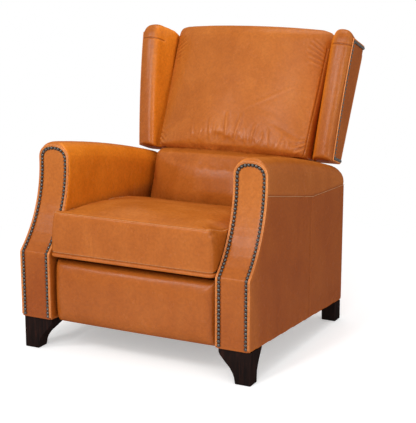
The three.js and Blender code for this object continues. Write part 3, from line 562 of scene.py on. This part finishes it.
for side, sign in SIDES:
    arm_cover = cover(f"arm_cover_{side}", [f"arm_pad_{side}", f"outside_arm_panel_{side}"], ARM_GRID, 3)
    for seam, depth, width in ((SIDE_SEAM, 0.0018, 0.0040), (UPRIGHT_SEAM, 0.0026, 0.0034)):
        sewn_in(arm_cover, [(sign * ARM_OUTER, y, z) for y, z in seam], depth, width)
    (x, y, z), out = places(arm_cover).T, directions(arm_cover)
    seam_height = np.interp(y, *zip(*SIDE_SEAM))
    outer_side = np.clip(sign * out[:, 0] * 2 - 0.4, 0, 1)
    painted_shade_below_seam = np.clip((seam_height - z) / SEAM_BLEND + 0.5, 0, 1) * (sign * x > ARM_MIDDLE)
    inner_side = np.clip(-sign * out[:, 0] * 2 - 0.2, 0, 1)
    painted_shade_beside_seat = 1 - step_up(z, *BESIDE_SEAT)
    painted_light_near_front = 0.2 * outer_side * step_up(-y, *NEAR_FRONT)
    # Painted light and shade: the outer side darker, and darker still below the seam; the inner side brighter
    # above the seat and darker beside it; the outer side a little brighter near the front.
    tone_and_painted_light = PLAIN_TONE - 0.22 * outer_side - 0.2 * outer_side * painted_shade_below_seam
    keep_wear_and_painted_light(arm_cover, hide, tone_and_painted_light + (0.45 - 0.75 * painted_shade_beside_seat) * inner_side + painted_light_near_front)
    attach(arm_cover, "base")
    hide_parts(f"arm_pad_{side}", f"outside_arm_panel_{side}")


# Front panel of each arm: a board wrapped in leather, arched at the top and
# swept like the arm, set into the end of the arm.
PANEL_HALF = 0.05
PANEL_ARCH = 0.6385
ARCH_RISE = 0.82
ARCH_POWER = 2.3
NAIL_HALF = 0.0435
NAIL_FOOT = 0.1155
NUDGE = 0.001
FOOT_ZONE = (-0.60, -0.15)
PAINTED_SHADE_LOW = {"left": 0.30, "right": 0.48}  # as lit in the photograph


def panel_line(sign, half, bottom):
    """A line at an even distance from the middle of an arm's front panel, and
    which way the surface faces there."""
    rise = ARCH_RISE * half
    spring = PANEL_ARCH - PANEL_HALF + half - rise
    heights = np.linspace(bottom, spring, 90)
    turns = [(math.copysign(abs(math.cos(t)) ** (2 / ARCH_POWER), math.cos(t)),
              math.sin(t) ** (2 / ARCH_POWER)) for t in np.linspace(0, math.pi, 72)[1:-1]]
    spots = [(ARM_MIDDLE - half, z) for z in heights]
    spots += [(ARM_MIDDLE - half * across, spring + rise * up) for across, up in turns]
    spots += [(ARM_MIDDLE + half, z) for z in heights[::-1]]
    points, facing_out = [], []
    for x, z in spots:
        slope = (arm_front_y(z + NUDGE) - arm_front_y(z - NUDGE)) / (2 * NUDGE)
        points.append((sign * x, arm_front_y(z), z))
        facing_out.append(Vector((0, -1, slope)).normalized())
    return np.array(points), np.array(facing_out)


def beside_nails(piece, line):
    """Draws the leather in under a row of nails and says how near each spot is."""
    sewn_in(piece, line, 0.0016, 0.0042)
    return np.exp(-(distance_to(dense(line), places(piece), 0.02) / 0.0052) ** 2)


for side, sign in SIDES:
    facing = cover(f"arm_front_panel_{side}_wrapped", [f"arm_front_panel_{side}"], 0.0032, 3)
    near = beside_nails(facing, panel_line(sign, NAIL_HALF, NAIL_FOOT)[0])
    low = step_up(-places(facing)[:, 2], *FOOT_ZONE)
    # Painted shade: darker round the nails, and darker towards the floor, more on the right side.
    keep_wear_and_painted_light(facing, hide, PLAIN_TONE - 0.45 * near - PAINTED_SHADE_LOW[side] * low)
    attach(facing, "base")
    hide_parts(f"arm_front_panel_{side}")


# Double welt round each front panel: two thin leather-covered cords side by
# side, laid over the joint between the panel and the arm.
WELT_RADIUS = 0.0019
WELT_FOOT = 0.112
WELT_LIFT = 0.0004
WELT_HALVES = (("inner", 0.0497), ("outer", 0.0533))


def cord_mesh(name, points, radius, sides=3):
    curve = bpy.data.curves.new(name, "CURVE")
    curve.dimensions = "3D"
    curve.bevel_depth = radius
    curve.bevel_resolution = sides
    curve.use_fill_caps = True
    spline = curve.splines.new("POLY")
    spline.points.add(len(points) - 1)
    for point, place in zip(spline.points, points):
        point.co = (*place, 1)
    holder = placed(name, curve)
    mesh = bpy.data.meshes.new_from_object(holder.evaluated_get(bpy.context.evaluated_depsgraph_get()))
    bpy.data.objects.remove(holder)
    bpy.data.curves.remove(curve)
    return placed(name, mesh)


# The welts' leather is a paler copy of the hide: a painted highlight along the thin rounded cords.
welt_hide_painted_highlight = tan_leather("welt_leather_painted_highlight", (0.43, 0.128, 0.03), (0.53, 0.175, 0.043), (0.62, 0.23, 0.065))
for side, sign in SIDES:
    for place, half in WELT_HALVES:
        line, out = panel_line(sign, half, WELT_FOOT)
        welt = cord_mesh(f"arm_welt_{place}_{side}", line + out * WELT_LIFT, WELT_RADIUS)
        keep_wear_and_painted_light(welt, welt_hide_painted_highlight)
        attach(welt, "base")


# Nailheads: domed tacks of antiqued brass, hammered in one after another
# along both sides and round the arch of each front panel.
NAIL_PITCH = 0.0118
NAIL_RADIUS = 0.0057
NAIL_FLATNESS = 0.78
NAIL_LIFT = 0.0006
NAIL_SIZES = (0.94, 1.05)


def antiqued_brass():
    material, tree, shader = new_finish("antiqued_brass", Metallic=0.35, Specular_IOR_Level=0.05,
                                        Coat_Weight=0.14, Coat_IOR=SHEEN_IOR, Coat_Roughness=0.2)
    patina = noise(tree, on_object(tree), 240, 3, 0.6)
    feed(shader, Base_Color=ramp(tree, patina, (0.35, (0.012, 0.009, 0.007)),
                                 (0.6, (0.045, 0.035, 0.027)), (0.75, (0.16, 0.135, 0.105))),
         Roughness=between(tree, patina, 0.2, 0.36))
    return material


def row_tree(name, pitch, radius, rounds, stretch, axis, sizes=None):
    """A node tree that sets one bead after another along a path. Either its z
    faces outward, or its x runs along the path."""
    tree = bpy.data.node_groups.new(name, "GeometryNodeTree")
    tree.interface.new_socket("Path", in_out="INPUT", socket_type="NodeSocketGeometry")
    for label, value in (("Pitch", pitch), ("Radius", radius)):
        tree.interface.new_socket(label, in_out="INPUT", socket_type="NodeSocketFloat").default_value = value
    tree.interface.new_socket("Finish", in_out="INPUT", socket_type="NodeSocketMaterial")
    tree.interface.new_socket("Row", in_out="OUTPUT", socket_type="NodeSocketGeometry")
    given = add_node(tree, "NodeGroupInput")
    curve = add_node(tree, "GeometryNodeMeshToCurve")
    even = add_node(tree, "GeometryNodeResampleCurve")
    even.mode = "LENGTH"
    bead = add_node(tree, "GeometryNodeMeshUVSphere", {"Segments": rounds[0], "Rings": rounds[1]})
    shaped = add_node(tree, "GeometryNodeTransform", {"Scale": stretch})
    if axis == "Z":
        facing = add_node(tree, "GeometryNodeInputNamedAttribute", {"Name": "outward"},
                          data_type="FLOAT_VECTOR").outputs["Attribute"]
    else:
        facing = add_node(tree, "GeometryNodeInputTangent").outputs[0]
    turn = add_node(tree, "FunctionNodeAlignRotationToVector", axis=axis)
    beads = add_node(tree, "GeometryNodeInstanceOnPoints")
    real = add_node(tree, "GeometryNodeRealizeInstances")
    smooth = add_node(tree, "GeometryNodeSetShadeSmooth")
    finish = add_node(tree, "GeometryNodeSetMaterial")
    for source, socket in ((given.outputs["Path"], curve.inputs[0]),
                           (curve.outputs[0], even.inputs["Curve"]),
                           (given.outputs["Pitch"], even.inputs["Length"]),
                           (given.outputs["Radius"], bead.inputs["Radius"]),
                           (bead.outputs[0], shaped.inputs["Geometry"]),
                           (facing, turn.inputs["Vector"]),
                           (even.outputs[0], beads.inputs["Points"]),
                           (shaped.outputs[0], beads.inputs["Instance"]),
                           (turn.outputs[0], beads.inputs["Rotation"]),
                           (beads.outputs[0], real.inputs[0]),
                           (real.outputs[0], smooth.inputs[0]),
                           (smooth.outputs[0], finish.inputs["Geometry"]),
                           (given.outputs["Finish"], finish.inputs["Material"]),
                           (finish.outputs[0], add_node(tree, "NodeGroupOutput").inputs[0])):
        tree.links.new(source, socket)
    if sizes is not None:
        vary = add_node(tree, "FunctionNodeRandomValue", {"Seed": 5})
        vary.inputs[2].default_value, vary.inputs[3].default_value = sizes
        tree.links.new(vary.outputs[1], beads.inputs["Scale"])
    return tree


def row_along(name, tree, points, out, finish):
    """Runs a node tree along a path and keeps the result as a plain mesh."""
    mesh = bpy.data.meshes.new(name)
    mesh.from_pydata([tuple(p) for p in points], [(i, i + 1) for i in range(len(points) - 1)], [])
    if out is not None:
        mesh.attributes.new("outward", "FLOAT_VECTOR", "POINT").data.foreach_set(
            "vector", np.asarray(out, np.float32).ravel())
    piece = placed(name, mesh)
    row = piece.modifiers.new("row", "NODES")
    row.node_group = tree
    for socket in tree.interface.items_tree:
        if socket.name == "Finish":
            row[socket.identifier] = finish
    return made_plain(piece)


brass = antiqued_brass()
nail_row = row_tree("nail_row", NAIL_PITCH, NAIL_RADIUS, (12, 6), (1, 1, NAIL_FLATNESS), "Z", NAIL_SIZES)
for side, sign in SIDES:
    line, out = panel_line(sign, NAIL_HALF, NAIL_FOOT)
    nails = row_along(f"arm_nails_{side}", nail_row, line + out * NAIL_LIFT, out, brass)
    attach(nails, "base")
    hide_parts(f"arm_nail_trim_{side}")


# Pale waxed thread, sewn by machine as a row of short stitches a little
# beside each seam that shows.
STITCH_PITCH = 0.0052
STITCH_RADIUS = 0.0008
STITCH_LENGTH = 2.7
ARM_STITCH_DROP = 0.0032
def waxed_thread():
    material, tree, shader = new_finish("waxed_thread", Roughness=0.6)
    twist = noise(tree, on_object(tree), 900, 2, 0.5)
    feed(shader, Base_Color=ramp(tree, twist, (0.3, (0.46, 0.21, 0.075)), (0.7, (0.66, 0.37, 0.165))),
         Normal=relief(tree, twist, 0.0002, 0.6))
    return material


def sewn_row(name, path, body):
    row = row_along(name, stitch_row, dense(path, 0.004), None, thread)
    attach(row, body)


thread = waxed_thread()
stitch_row = row_tree("stitch_row", STITCH_PITCH, STITCH_RADIUS, (6, 5), (STITCH_LENGTH, 1, 1), "X")
for side, sign in SIDES:
    path = [(sign * (ARM_OUTER - 0.0002), y, z - ARM_STITCH_DROP) for y, z in SIDE_SEAM]
    sewn_row(f"arm_stitches_{side}", path, "base")


# Rear rail: a board between the arms that closes the base behind, wrapped in
# the same leather as the outside back and stapled underneath.
rail_cover = cover("rear_rail_wrapped", ["rear_rail"], 0.005, 2)
keep_wear_and_painted_light(rail_cover, hide)
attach(rail_cover, "base")
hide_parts("rear_rail")


# Seat cushion: foam wrapped in fibre in a boxed leather cover. The crowned
# top is sewn to an upright front, and a rolled edge closes the front below.
# Both seams are top-stitched with pale thread.
SEAT_GRID = 0.0056
SEAT_HALF = 0.285
SEAT_FRONT = -0.4572
SEAT_CORNER = 0.022
LIP_SEAM = 0.3268
TOP_SEAM = 0.4560
SEAMS_REAR = 0.02
SIDE_FALL = 0.015
FALL_DEPTHS = (-0.447, -0.372)
FALL_HEIGHTS = (0.37, 0.44)
SUNK_FROM = 0.218
TAPER = 0.026
TAPER_FROM = 0.35
TAPER_DEPTHS = (0.36, 0.44)
SHOULDER = 0.026
SHOULDER_DEPTHS = (0.38, 0.44)
ROLL_RADIUS = 0.0060
ROLL_HEIGHT = 0.3196
ROLL_REAR = -0.392
ROOM_HALF, ROOM_AHEAD, ROOM_TOP = 0.2866, 0.0022, 0.479
UNDERSIDE, BEHIND_FACE = 0.352, -0.449
SOFT, FIRM = 0.008, 0.004
FILLING_FRAMES = 20
HELD_BESIDE = 0.012


def fill_out(piece, held, cap, room=None):
    """Lets the cover swell with its filling where it isn't held. No point goes
    further than cap, nor past room, a function of the points."""
    start = places(piece)
    group = piece.vertex_groups.new(name="held")
    for level in np.unique(np.round(held, 1)):
        if level > 0:
            group.add([int(i) for i in np.nonzero(np.round(held, 1) == level)[0]], float(level), "REPLACE")
    cloth = piece.modifiers.new("filling", "CLOTH")
    cloth.settings.quality = 5
    cloth.settings.use_pressure = True
    cloth.settings.uniform_pressure_force = 4.0
    cloth.settings.effector_weights.gravity = 0.0
    cloth.settings.vertex_group_mass = "held"
    cloth.settings.tension_stiffness = 12
    cloth.settings.compression_stiffness = 12
    cloth.settings.bending_stiffness = 0.6
    for number in range(1, FILLING_FRAMES + 1):
        scene.frame_set(number)
    shown = piece.evaluated_get(bpy.context.evaluated_depsgraph_get())
    move = places(shown) - start
    length = np.linalg.norm(move, axis=1)
    move *= (cap * np.tanh(length / cap) / np.maximum(length, 1e-9))[:, None]
    piece.modifiers.clear()
    piece.vertex_groups.clear()
    scene.frame_set(1)
    points = start + move
    set_places(piece, points if room is None else room(points))


def skin_of(piece):
    bm = bmesh.new()
    bm.from_mesh(piece.data)
    tree = BVHTree.FromBMesh(bm)
    bm.free()
    return tree


def on_skin(tree, origins, targets):
    """Where straight lines from outside first meet a surface."""
    hits = []
    for origin, target in zip(origins, targets):
        ray = Vector(target) - Vector(origin)
        hit = tree.ray_cast(Vector(origin), ray.normalized(), ray.length)[0]
        if hit is not None:
            hits.append(tuple(hit))
    return np.array(hits)


def held_along(seams, points, held):
    """Adds to held the points on seams, fading out beside them."""
    for seam in seams:
        gap = distance_to(dense(seam), points, 0.03)
        held = np.maximum(held, np.clip(1.2 - gap / HELD_BESIDE, 0, 1))
    return held


def side_fall(y):
    """How far the top has sunk beside the arms, at a depth."""
    return SIDE_FALL * step_up(y, *FALL_DEPTHS)


def seat_outline(inset, rear):
    """The seat's outline from above, one side, the front and the other side."""
    radius = SEAT_CORNER - inset
    turn_x, turn_y = SEAT_HALF - SEAT_CORNER, SEAT_FRONT + SEAT_CORNER
    side = [(-SEAT_HALF + inset, y) for y in np.linspace(rear, turn_y, 60)]
    side += [(-turn_x - radius * math.cos(t), turn_y - radius * math.sin(t))
             for t in np.linspace(0, math.pi / 2, 12)[1:]]
    side += [(x, SEAT_FRONT + inset) for x in np.linspace(-turn_x, 0, 50)[1:]]
    return side + [(-x, y) for x, y in side[-2::-1]]


def seat_loop(tree, z, fall=0.0, rear=SEAMS_REAR):
    """A line round the front of the seat, on its surface."""
    origins, targets = [], []
    for x, y in seat_outline(0, rear):
        height = z - fall * float(side_fall(y))
        turn = Vector((math.copysign(min(abs(x), SEAT_HALF - SEAT_CORNER), x),
                       max(y, SEAT_FRONT + SEAT_CORNER), 0))
        out = (Vector((x, y, 0)) - turn).normalized()
        spot = Vector((x, y, height))
        origins.append(tuple(spot + out * 0.05))
        targets.append(tuple(spot - out * 0.06))
    return on_skin(tree, origins, targets)


seat = cover("seat_cushion_stuffed", ["seat_cushion"], SEAT_GRID, 3)
points = places(seat)
x, y, z = points.T
z -= side_fall(y) * step_up(np.abs(x), SUNK_FROM, SEAT_HALF) * step_up(z, *FALL_HEIGHTS)
x *= 1 - TAPER * step_up(z, TAPER_FROM, TOP_SEAM) * step_up(-y, *TAPER_DEPTHS)
corner = np.maximum((np.abs(x) - SEAT_HALF + SHOULDER) / SHOULDER, 1e-6)
height = np.maximum((z - TOP_SEAM + SHOULDER) / SHOULDER, 1e-6)
drawn = step_up(-y, *SHOULDER_DEPTHS) * (np.maximum(corner, height) / np.hypot(corner, height) - 1)
x += np.sign(x) * SHOULDER * corner * drawn
z += SHOULDER * height * drawn * (z < TOP_SEAM + 0.004)
set_places(seat, points)
seat_skin = skin_of(seat)
points = places(seat)
x, y, z = points.T
seams = (seat_loop(seat_skin, TOP_SEAM, 1.0), seat_loop(seat_skin, LIP_SEAM))
held = held_along(seams, points, np.zeros(len(points)))
held = np.maximum(held, 0.8 * (y < SEAT_FRONT + HELD_BESIDE))
held = np.maximum(held, (z < LIP_SEAM + 0.006) | ((z < UNDERSIDE) & (y > BEHIND_FACE)))


def seat_room(p):
    p[:, 0] = np.clip(p[:, 0], -ROOM_HALF, ROOM_HALF)
    p[:, 1] = np.maximum(p[:, 1], SEAT_FRONT - ROOM_AHEAD)
    p[:, 2] = np.minimum(p[:, 2], ROOM_TOP)
    return p


fill_out(seat, held, SOFT, seat_room)
seat = refined(seat)
DIP_X, DIP_Y, DIP_ACROSS, DIP_ALONG, DIP_DEPTH = 0.256, -0.366, 0.024, 0.034, 0.005
CREASE_X, CREASE_LEAN, CREASE_WIDTH, CREASE_DEPTH = -0.130, 0.1, 0.0045, 0.0009
CREASE_FOOT, CREASE_MIDDLE, CREASE_HEAD = (0.325, 0.35), 0.37, (0.38, 0.42)
points = places(seat)
x, y, z = points.T
dip = np.exp(-((np.abs(x) - DIP_X) / DIP_ACROSS) ** 2 - ((y - DIP_Y) / DIP_ALONG) ** 2)
crease = np.exp(-((x - CREASE_X + CREASE_LEAN * (z - CREASE_MIDDLE)) / CREASE_WIDTH) ** 2)
crease *= step_up(z, *CREASE_FOOT) * (1 - step_up(z, *CREASE_HEAD))
z -= DIP_DEPTH * dip * (z > 0.42)
y -= CREASE_DEPTH * crease * (y < -0.445)
set_places(seat, points)
skin = skin_of(seat)
top_seam = seat_loop(skin, TOP_SEAM, 1.0)
sewn_in(seat, top_seam, 0.0015, 0.0030)
sewn_in(seat, seat_loop(skin, LIP_SEAM), 0.0030, 0.0034)
# Painted shade: the upright front and sides below the top seam are darker than the top.
painted_light_on_top = step_up(places(seat)[:, 2], TOP_SEAM - 0.004, TOP_SEAM + 0.001)
keep_wear_and_painted_light(seat, hide, 0.34 + 0.15 * painted_light_on_top)
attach(seat, "seat")
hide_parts("seat_cushion")
outline = [(x, y, ROLL_HEIGHT) for x, y in seat_outline(ROLL_RADIUS - 0.0007, ROLL_REAR)]
roll = cord_mesh("seat_front_roll", outline, ROLL_RADIUS, 5)
# Painted shade: the rolled edge under the seat's front is darker.
keep_wear_and_painted_light(roll, hide, 0.22)
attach(roll, "seat")
skin = skin_of(seat)
sewn_row("seat_top_stitches", seat_loop(skin, TOP_SEAM - 0.0022, 1.0), "seat")
sewn_row("seat_lip_stitches", seat_loop(skin, LIP_SEAM + 0.0036, 0.0, ROLL_REAR), "seat")


# Footrest: a plywood board under foam, in one softly pillowed leather cover
# that is pulled over the rounded edges and stapled at the rear.
REST_FRONT = -0.4575
REST_HELD_FROM = -0.428
REST_EASED_FROM = -0.418
REST_FADE = 0.012
rest = cover("footrest_pad_stuffed", ["footrest_pad"], 0.0058, 3)
held = np.clip((places(rest)[:, 1] - REST_HELD_FROM) / REST_FADE, 0, 1)
fill_out(rest, held, FIRM, lambda p: np.maximum(p, [-1, REST_FRONT, 0]))
eased(rest, 26, np.clip((REST_EASED_FROM - places(rest)[:, 1]) / REST_FADE, 0, 1))
rest = refined(rest)
# Painted shade: the footrest's cover is darker all over.
keep_wear_and_painted_light(rest, hide, 0.23)
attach(rest, "footrest")
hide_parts("footrest_pad")


# The back leans rearwards. Its panel is covered in leather and closes the
# rear; two cushions are fixed in front of it.
LEAN = math.radians(17.8)
FOOT_OF_BACK = (0.26155, 0.300)
WING_BOTTOM, WING_FLARE_TOP = 0.242, 0.6505
WING_HALF_BOTTOM, WING_HALF_TOP = 0.374, 0.4036
HELD_BEHIND, HELD_FADE = -0.075, 0.02


def leaned(x, v, w):
    """A place on the back: across, behind its rear face, and up along it."""
    return (x, FOOT_OF_BACK[0] + v * math.cos(LEAN) + w * math.sin(LEAN),
            FOOT_OF_BACK[1] - v * math.sin(LEAN) + w * math.cos(LEAN))


BACK_SLANT = Matrix.Translation((0, *FOOT_OF_BACK)) @ Matrix.Rotation(-LEAN, 4, "X")


def along_back(points):
    dy, dz = points[:, 1] - FOOT_OF_BACK[0], points[:, 2] - FOOT_OF_BACK[1]
    return points[:, 0], dy * math.cos(LEAN) - dz * math.sin(LEAN), dy * math.sin(LEAN) + dz * math.cos(LEAN)


def panel_widening(w):
    """How much wider the outside back is at a height than at its foot."""
    share = np.clip((w - WING_BOTTOM) / (WING_FLARE_TOP - WING_BOTTOM), 0, 1)
    return 1 + (WING_HALF_TOP / WING_HALF_BOTTOM - 1) * share


def held_behind(points):
    """1 on the rear of a cushion, which is fixed to the frame, else 0."""
    return np.clip((along_back(points)[1] - HELD_BEHIND) / HELD_FADE, 0, 1)


rear_panel = cover("outside_back_covered", ["outside_back"], 0.0052, 3, BACK_SLANT, panel_widening)
keep_wear_and_painted_light(rear_panel, hide)
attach(rear_panel, "back")
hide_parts("outside_back")


# Lumbar cushion: a firm bolster of foam and fibre under smooth leather.
LUMBAR_HALF = 0.2845
lumbar = cover("lumbar_cushion_stuffed", ["lumbar_cushion"], 0.0062, 3, BACK_SLANT)


def lumbar_room(p):
    p[:, 0] = np.clip(p[:, 0], -LUMBAR_HALF, LUMBAR_HALF)
    return p


fill_out(lumbar, held_behind(places(lumbar)), FIRM, lumbar_room)
lumbar = refined(lumbar)
# Painted shade: the lumbar cushion, set between the seat and the back cushion, is darker all over.
keep_wear_and_painted_light(lumbar, hide, 0.40)
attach(lumbar, "back")
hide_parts("lumbar_cushion")


# Back cushion: a loose fibre fill in a leather case with boxed sides. The
# front panel rolls over the top, is gathered into the side seams at the
# corners, and falls in soft pleats above the lumbar cushion.
CUSHION_FOOT, CUSHION_HEIGHT = 0.24, 0.448
CUSHION_HALF, CUSHION_FLARE = 0.287, 0.05
BOXED_LOW, BOXED_HIGH, BOXED_REACH = 0.122, 0.056, 0.4
SEAM_HALF = 0.256
SEAM_SPAN = (0.246, 0.63)
SEAM_SIGHT = 1.0
PLEAT_ZONE = (0.245, 0.385)
CORNERS_FROM, CORNERS_LOW, CORNERS_HIGH = 0.215, 0.31, 0.53
cushion = cover("back_cushion_stuffed", ["back_cushion"], 0.0064, 3, BACK_SLANT)


def side_line(tree, sign):
    """The seam between the front panel and a boxed side, on the surface."""
    step = Vector(leaned(sign * math.sin(SEAM_SIGHT), -math.cos(SEAM_SIGHT), 0)) - Vector(leaned(0, 0, 0))
    origins, targets = [], []
    for w in np.linspace(*SEAM_SPAN, 110):
        edge = BOXED_LOW + (BOXED_HIGH - BOXED_LOW) * min(max((w - CUSHION_FOOT) / BOXED_REACH, 0), 1)
        inside = Vector(leaned(sign * SEAM_HALF, -(edge - 0.022), w))
        targets.append(tuple(inside))
        origins.append(tuple(inside + step * 0.12))
    return on_skin(tree, origins, targets)


def cushion_room(p):
    height = along_back(p)[2]
    half = CUSHION_HALF * (1 + CUSHION_FLARE * (height - CUSHION_FOOT) / CUSHION_HEIGHT)
    p[:, 0] *= 1 + 0.01 * step_up(height, 0.35, 0.6)
    p[:, 0] = np.clip(p[:, 0], -half, half)
    return p


points = places(cushion)
skin = skin_of(cushion)
held = held_along([side_line(skin, sign) for side, sign in SIDES], points, held_behind(points))
fill_out(cushion, held, SOFT, cushion_room)
cushion = refined(cushion)
skin = skin_of(cushion)


def finer_where(piece, chosen):
    """Splits the faces of one area once more, for small folds."""
    bm = bmesh.new()
    bm.from_mesh(piece.data)
    edges = [edge for edge in bm.edges if chosen[edge.verts[0].index] and chosen[edge.verts[1].index]]
    bmesh.ops.subdivide_edges(bm, edges=edges, cuts=1, use_grid_fill=True)
    bm.to_mesh(piece.data)
    bm.free()
    return piece


def folded(across, along, reach, size, width):
    """A soft ridge between two hollows, fading out at both ends."""
    fade = np.clip(1 - (along / reach) ** 2, 0, 1)
    ridge = np.exp(-(across / width) ** 2)
    hollow = np.exp(-((np.abs(across) - 2.1 * width) / (1.2 * width)) ** 2)
    return size * fade * (ridge - 0.45 * hollow)


# Place across, lowest and highest point, height and half width of each pleat.
PLEATS = ((-0.200, 0.256, 0.300, 0.0008, 0.0034), (-0.122, 0.262, 0.326, 0.0013, 0.0034),
          (-0.086, 0.260, 0.312, 0.0008, 0.0030), (-0.048, 0.262, 0.350, 0.0016, 0.0036),
          (-0.020, 0.262, 0.322, 0.0009, 0.0030), (0.010, 0.268, 0.374, 0.0024, 0.0038),
          (0.051, 0.266, 0.370, 0.0023, 0.0036), (0.082, 0.262, 0.322, 0.0011, 0.0030),
          (0.111, 0.262, 0.340, 0.0018, 0.0036), (0.137, 0.260, 0.318, 0.0012, 0.0030),
          (0.160, 0.260, 0.330, 0.0015, 0.0034), (0.198, 0.256, 0.306, 0.0011, 0.0034),
          (0.225, 0.254, 0.292, 0.0010, 0.0030))
# Place up the side seam, length, height and slope of each gather.
GATHERS = ((0.628, 0.030, 0.0015, 0.75), (0.613, 0.036, 0.0017, 0.62), (0.598, 0.040, 0.0018, 0.50),
           (0.582, 0.034, 0.0014, 0.40), (0.566, 0.028, 0.0011, 0.30), (0.300, 0.022, 0.0010, -0.35),
           (0.284, 0.028, 0.0015, -0.55), (0.269, 0.032, 0.0016, -0.75))
GATHERED_EDGE = 0.276
x, v, w = along_back(places(cushion))
corner_zone = (np.abs(x) > CORNERS_FROM) & ((w > CORNERS_HIGH) | (w < CORNERS_LOW))
pleat_zone = (w > PLEAT_ZONE[0]) & (w < PLEAT_ZONE[1])
finer_where(cushion, (directions(cushion)[:, 1] < -0.2) & (pleat_zone | corner_zone))
points, out = places(cushion), directions(cushion)
x, v, w = along_back(points)
front = np.clip(-out[:, 1] * 1.6, 0, 1)
lift = np.zeros(len(points))
for spot, low, high, size, width in PLEATS:
    sway = 0.004 * np.sin((w - low) * 40 + spot * 90) + 0.2 * spot * (w - low)
    lift += folded(x - spot - sway, w - (low + high) / 2, (high - low) / 2, 0.95 * size, 1.3 * width)
for sign in (1, -1):
    for spot, reach, size, tilt in GATHERS:
        inward = GATHERED_EDGE - sign * x
        across = (w - spot - tilt * inward) * math.cos(math.atan(tilt))
        lift += folded(across, inward - 0.008, reach, 0.9 * size, 0.0038)
# One long faint fold that rises towards the sitter's left.
line_down = (w - 0.415) - 0.62 * (x - 0.11)
lift += folded(line_down * 0.85, x - 0.14, 0.10, 0.00035, 0.0050)
set_places(cushion, points + out * (lift * front)[:, None])
for sign in (1, -1):
    sewn_in(cushion, side_line(skin, sign), 0.0024, 0.0032)
keep_wear_and_painted_light(cushion, hide)
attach(cushion, "back")
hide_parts("back_cushion")


# Wings: a board in each, padded into a thick roll at the front, with the
# leather pleated over the domed top. The outer panel is nailed down along
# its front, top and bottom edges.
WING_NAILS = 0.646
WING_HEM = 0.252
WING_DOME = 0.652
WING_REAR = -0.0165
FRONT_FOOT, FRONT_SWEEP, SWEEP_POWER = -0.112, 0.037, 1.8
WELT_LOW, WELT_ABOVE_NAILS, WING_WELT_RADIUS = 0.2455, 0.0065, 0.0022
ROLL_FROM, ROLL_FADE = -0.082, 0.02
WING_SLOPE = (WING_HALF_TOP - WING_HALF_BOTTOM) / (WING_FLARE_TOP - WING_BOTTOM)
NAILS_INSET, WELT_INSET = 0.032, 0.0255
CORE_INWARD, CORE_BEHIND = 0.034, 0.040
ROLL_SIGHT = 0.11
PLEAT_DROP, PLEAT_SAG = 0.018, 0.003


def wing_outer(w):
    return WING_HALF_BOTTOM + WING_SLOPE * min(w - WING_BOTTOM, WING_FLARE_TOP - WING_BOTTOM)


def wing_front(w):
    share = min(max((w - WING_BOTTOM) / (WING_NAILS - WING_BOTTOM), 0), 1)
    return FRONT_FOOT - FRONT_SWEEP * (1 - (1 - share) ** SWEEP_POWER)


def wing_line(sign, inset, proud, low=WING_HEM, high=WING_NAILS):
    """A line along the bottom, front and top of a wing's outer panel, and which
    way the panel faces."""
    spots = [(v, low) for v in np.linspace(WING_REAR, wing_front(low) + inset, 30)]
    spots += [(wing_front(w) + inset, w) for w in np.linspace(low, high, 90)[1:]]
    spots += [(v, high) for v in np.linspace(wing_front(high) + inset, WING_REAR, 36)[1:]]
    out = Vector(leaned(sign, 0, -WING_SLOPE)) - Vector(leaned(0, 0, 0))
    out.normalize()
    line = np.array([leaned(sign * (wing_outer(w) + proud), v, w) for v, w in spots])
    return line, np.tile(np.array(out), (len(line), 1))


for side, sign in SIDES:
    flare = Matrix.Identity(4)
    flare[0][2] = sign * WING_SLOPE
    wing = cover(f"wing_pad_{side}_stuffed", [f"wing_pad_{side}"], 0.0044, 4, BACK_SLANT @ flare)
    x, v, w = along_back(places(wing))
    eased(wing, 20, np.clip((ROLL_FROM - v) / ROLL_FADE, 0, 1) * np.clip((w - WING_HEM) / ROLL_FADE, 0, 1))
    eased(wing, 12, np.clip((w - WING_DOME) / 0.01, 0, 1))
    wing = refined(wing)
    tuck = WING_NAILS - PLEAT_DROP
    core_x, core_v = wing_outer(tuck) - CORE_INWARD, wing_front(tuck) + CORE_BEHIND
    turns = [math.radians(a) for a in range(-6, 186, 3)]
    seen_from = [leaned(sign * (core_x + ROLL_SIGHT * math.cos(a)), core_v - ROLL_SIGHT * math.sin(a),
                        tuck - PLEAT_SAG * math.sin(2 * a)) for a in turns]
    pleat = on_skin(skin_of(wing), seen_from, [leaned(sign * core_x, core_v, tuck)] * len(turns))
    sewn_in(wing, pleat, 0.0022, 0.0026)
    near = beside_nails(wing, wing_line(sign, NAILS_INSET, 0.0)[0])
    points, out = places(wing), directions(wing)
    x, v, w = along_back(points)
    inner_side = np.clip(-sign * out[:, 0] * 1.6 - 0.2, 0, 1)
    outer_side = np.clip(sign * out[:, 0] * 3 - 1.8, 0, 1) * (v > wing_front(0.5) + 0.02)
    roll_front = np.clip(-out[:, 1] * 2 - 0.8, 0, 1)
    # Painted light and shade: the inner faces brighter; the outer faces, the front roll and the leather round
    # the nails darker.
    tone_and_painted_light = PLAIN_TONE + 0.45 * inner_side - 0.3 * outer_side - 0.4 * near - 0.19 * roll_front
    keep_wear_and_painted_light(wing, hide, tone_and_painted_light)
    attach(wing, "back")
    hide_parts(f"wing_pad_{side}")
    line, out = wing_line(sign, WELT_INSET, 0.0006, WELT_LOW, WING_NAILS + WELT_ABOVE_NAILS)
    welt = cord_mesh(f"wing_welt_{side}", line, WING_WELT_RADIUS)
    keep_wear_and_painted_light(welt, welt_hide_painted_highlight)
    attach(welt, "back")
    line, out = wing_line(sign, NAILS_INSET, 0.0004)
    nails = row_along(f"wing_nails_{side}", nail_row, line, out, brass)
    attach(nails, "back")
    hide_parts(f"wing_nail_trim_{side}")


scene.view_settings.view_transform = "Standard"
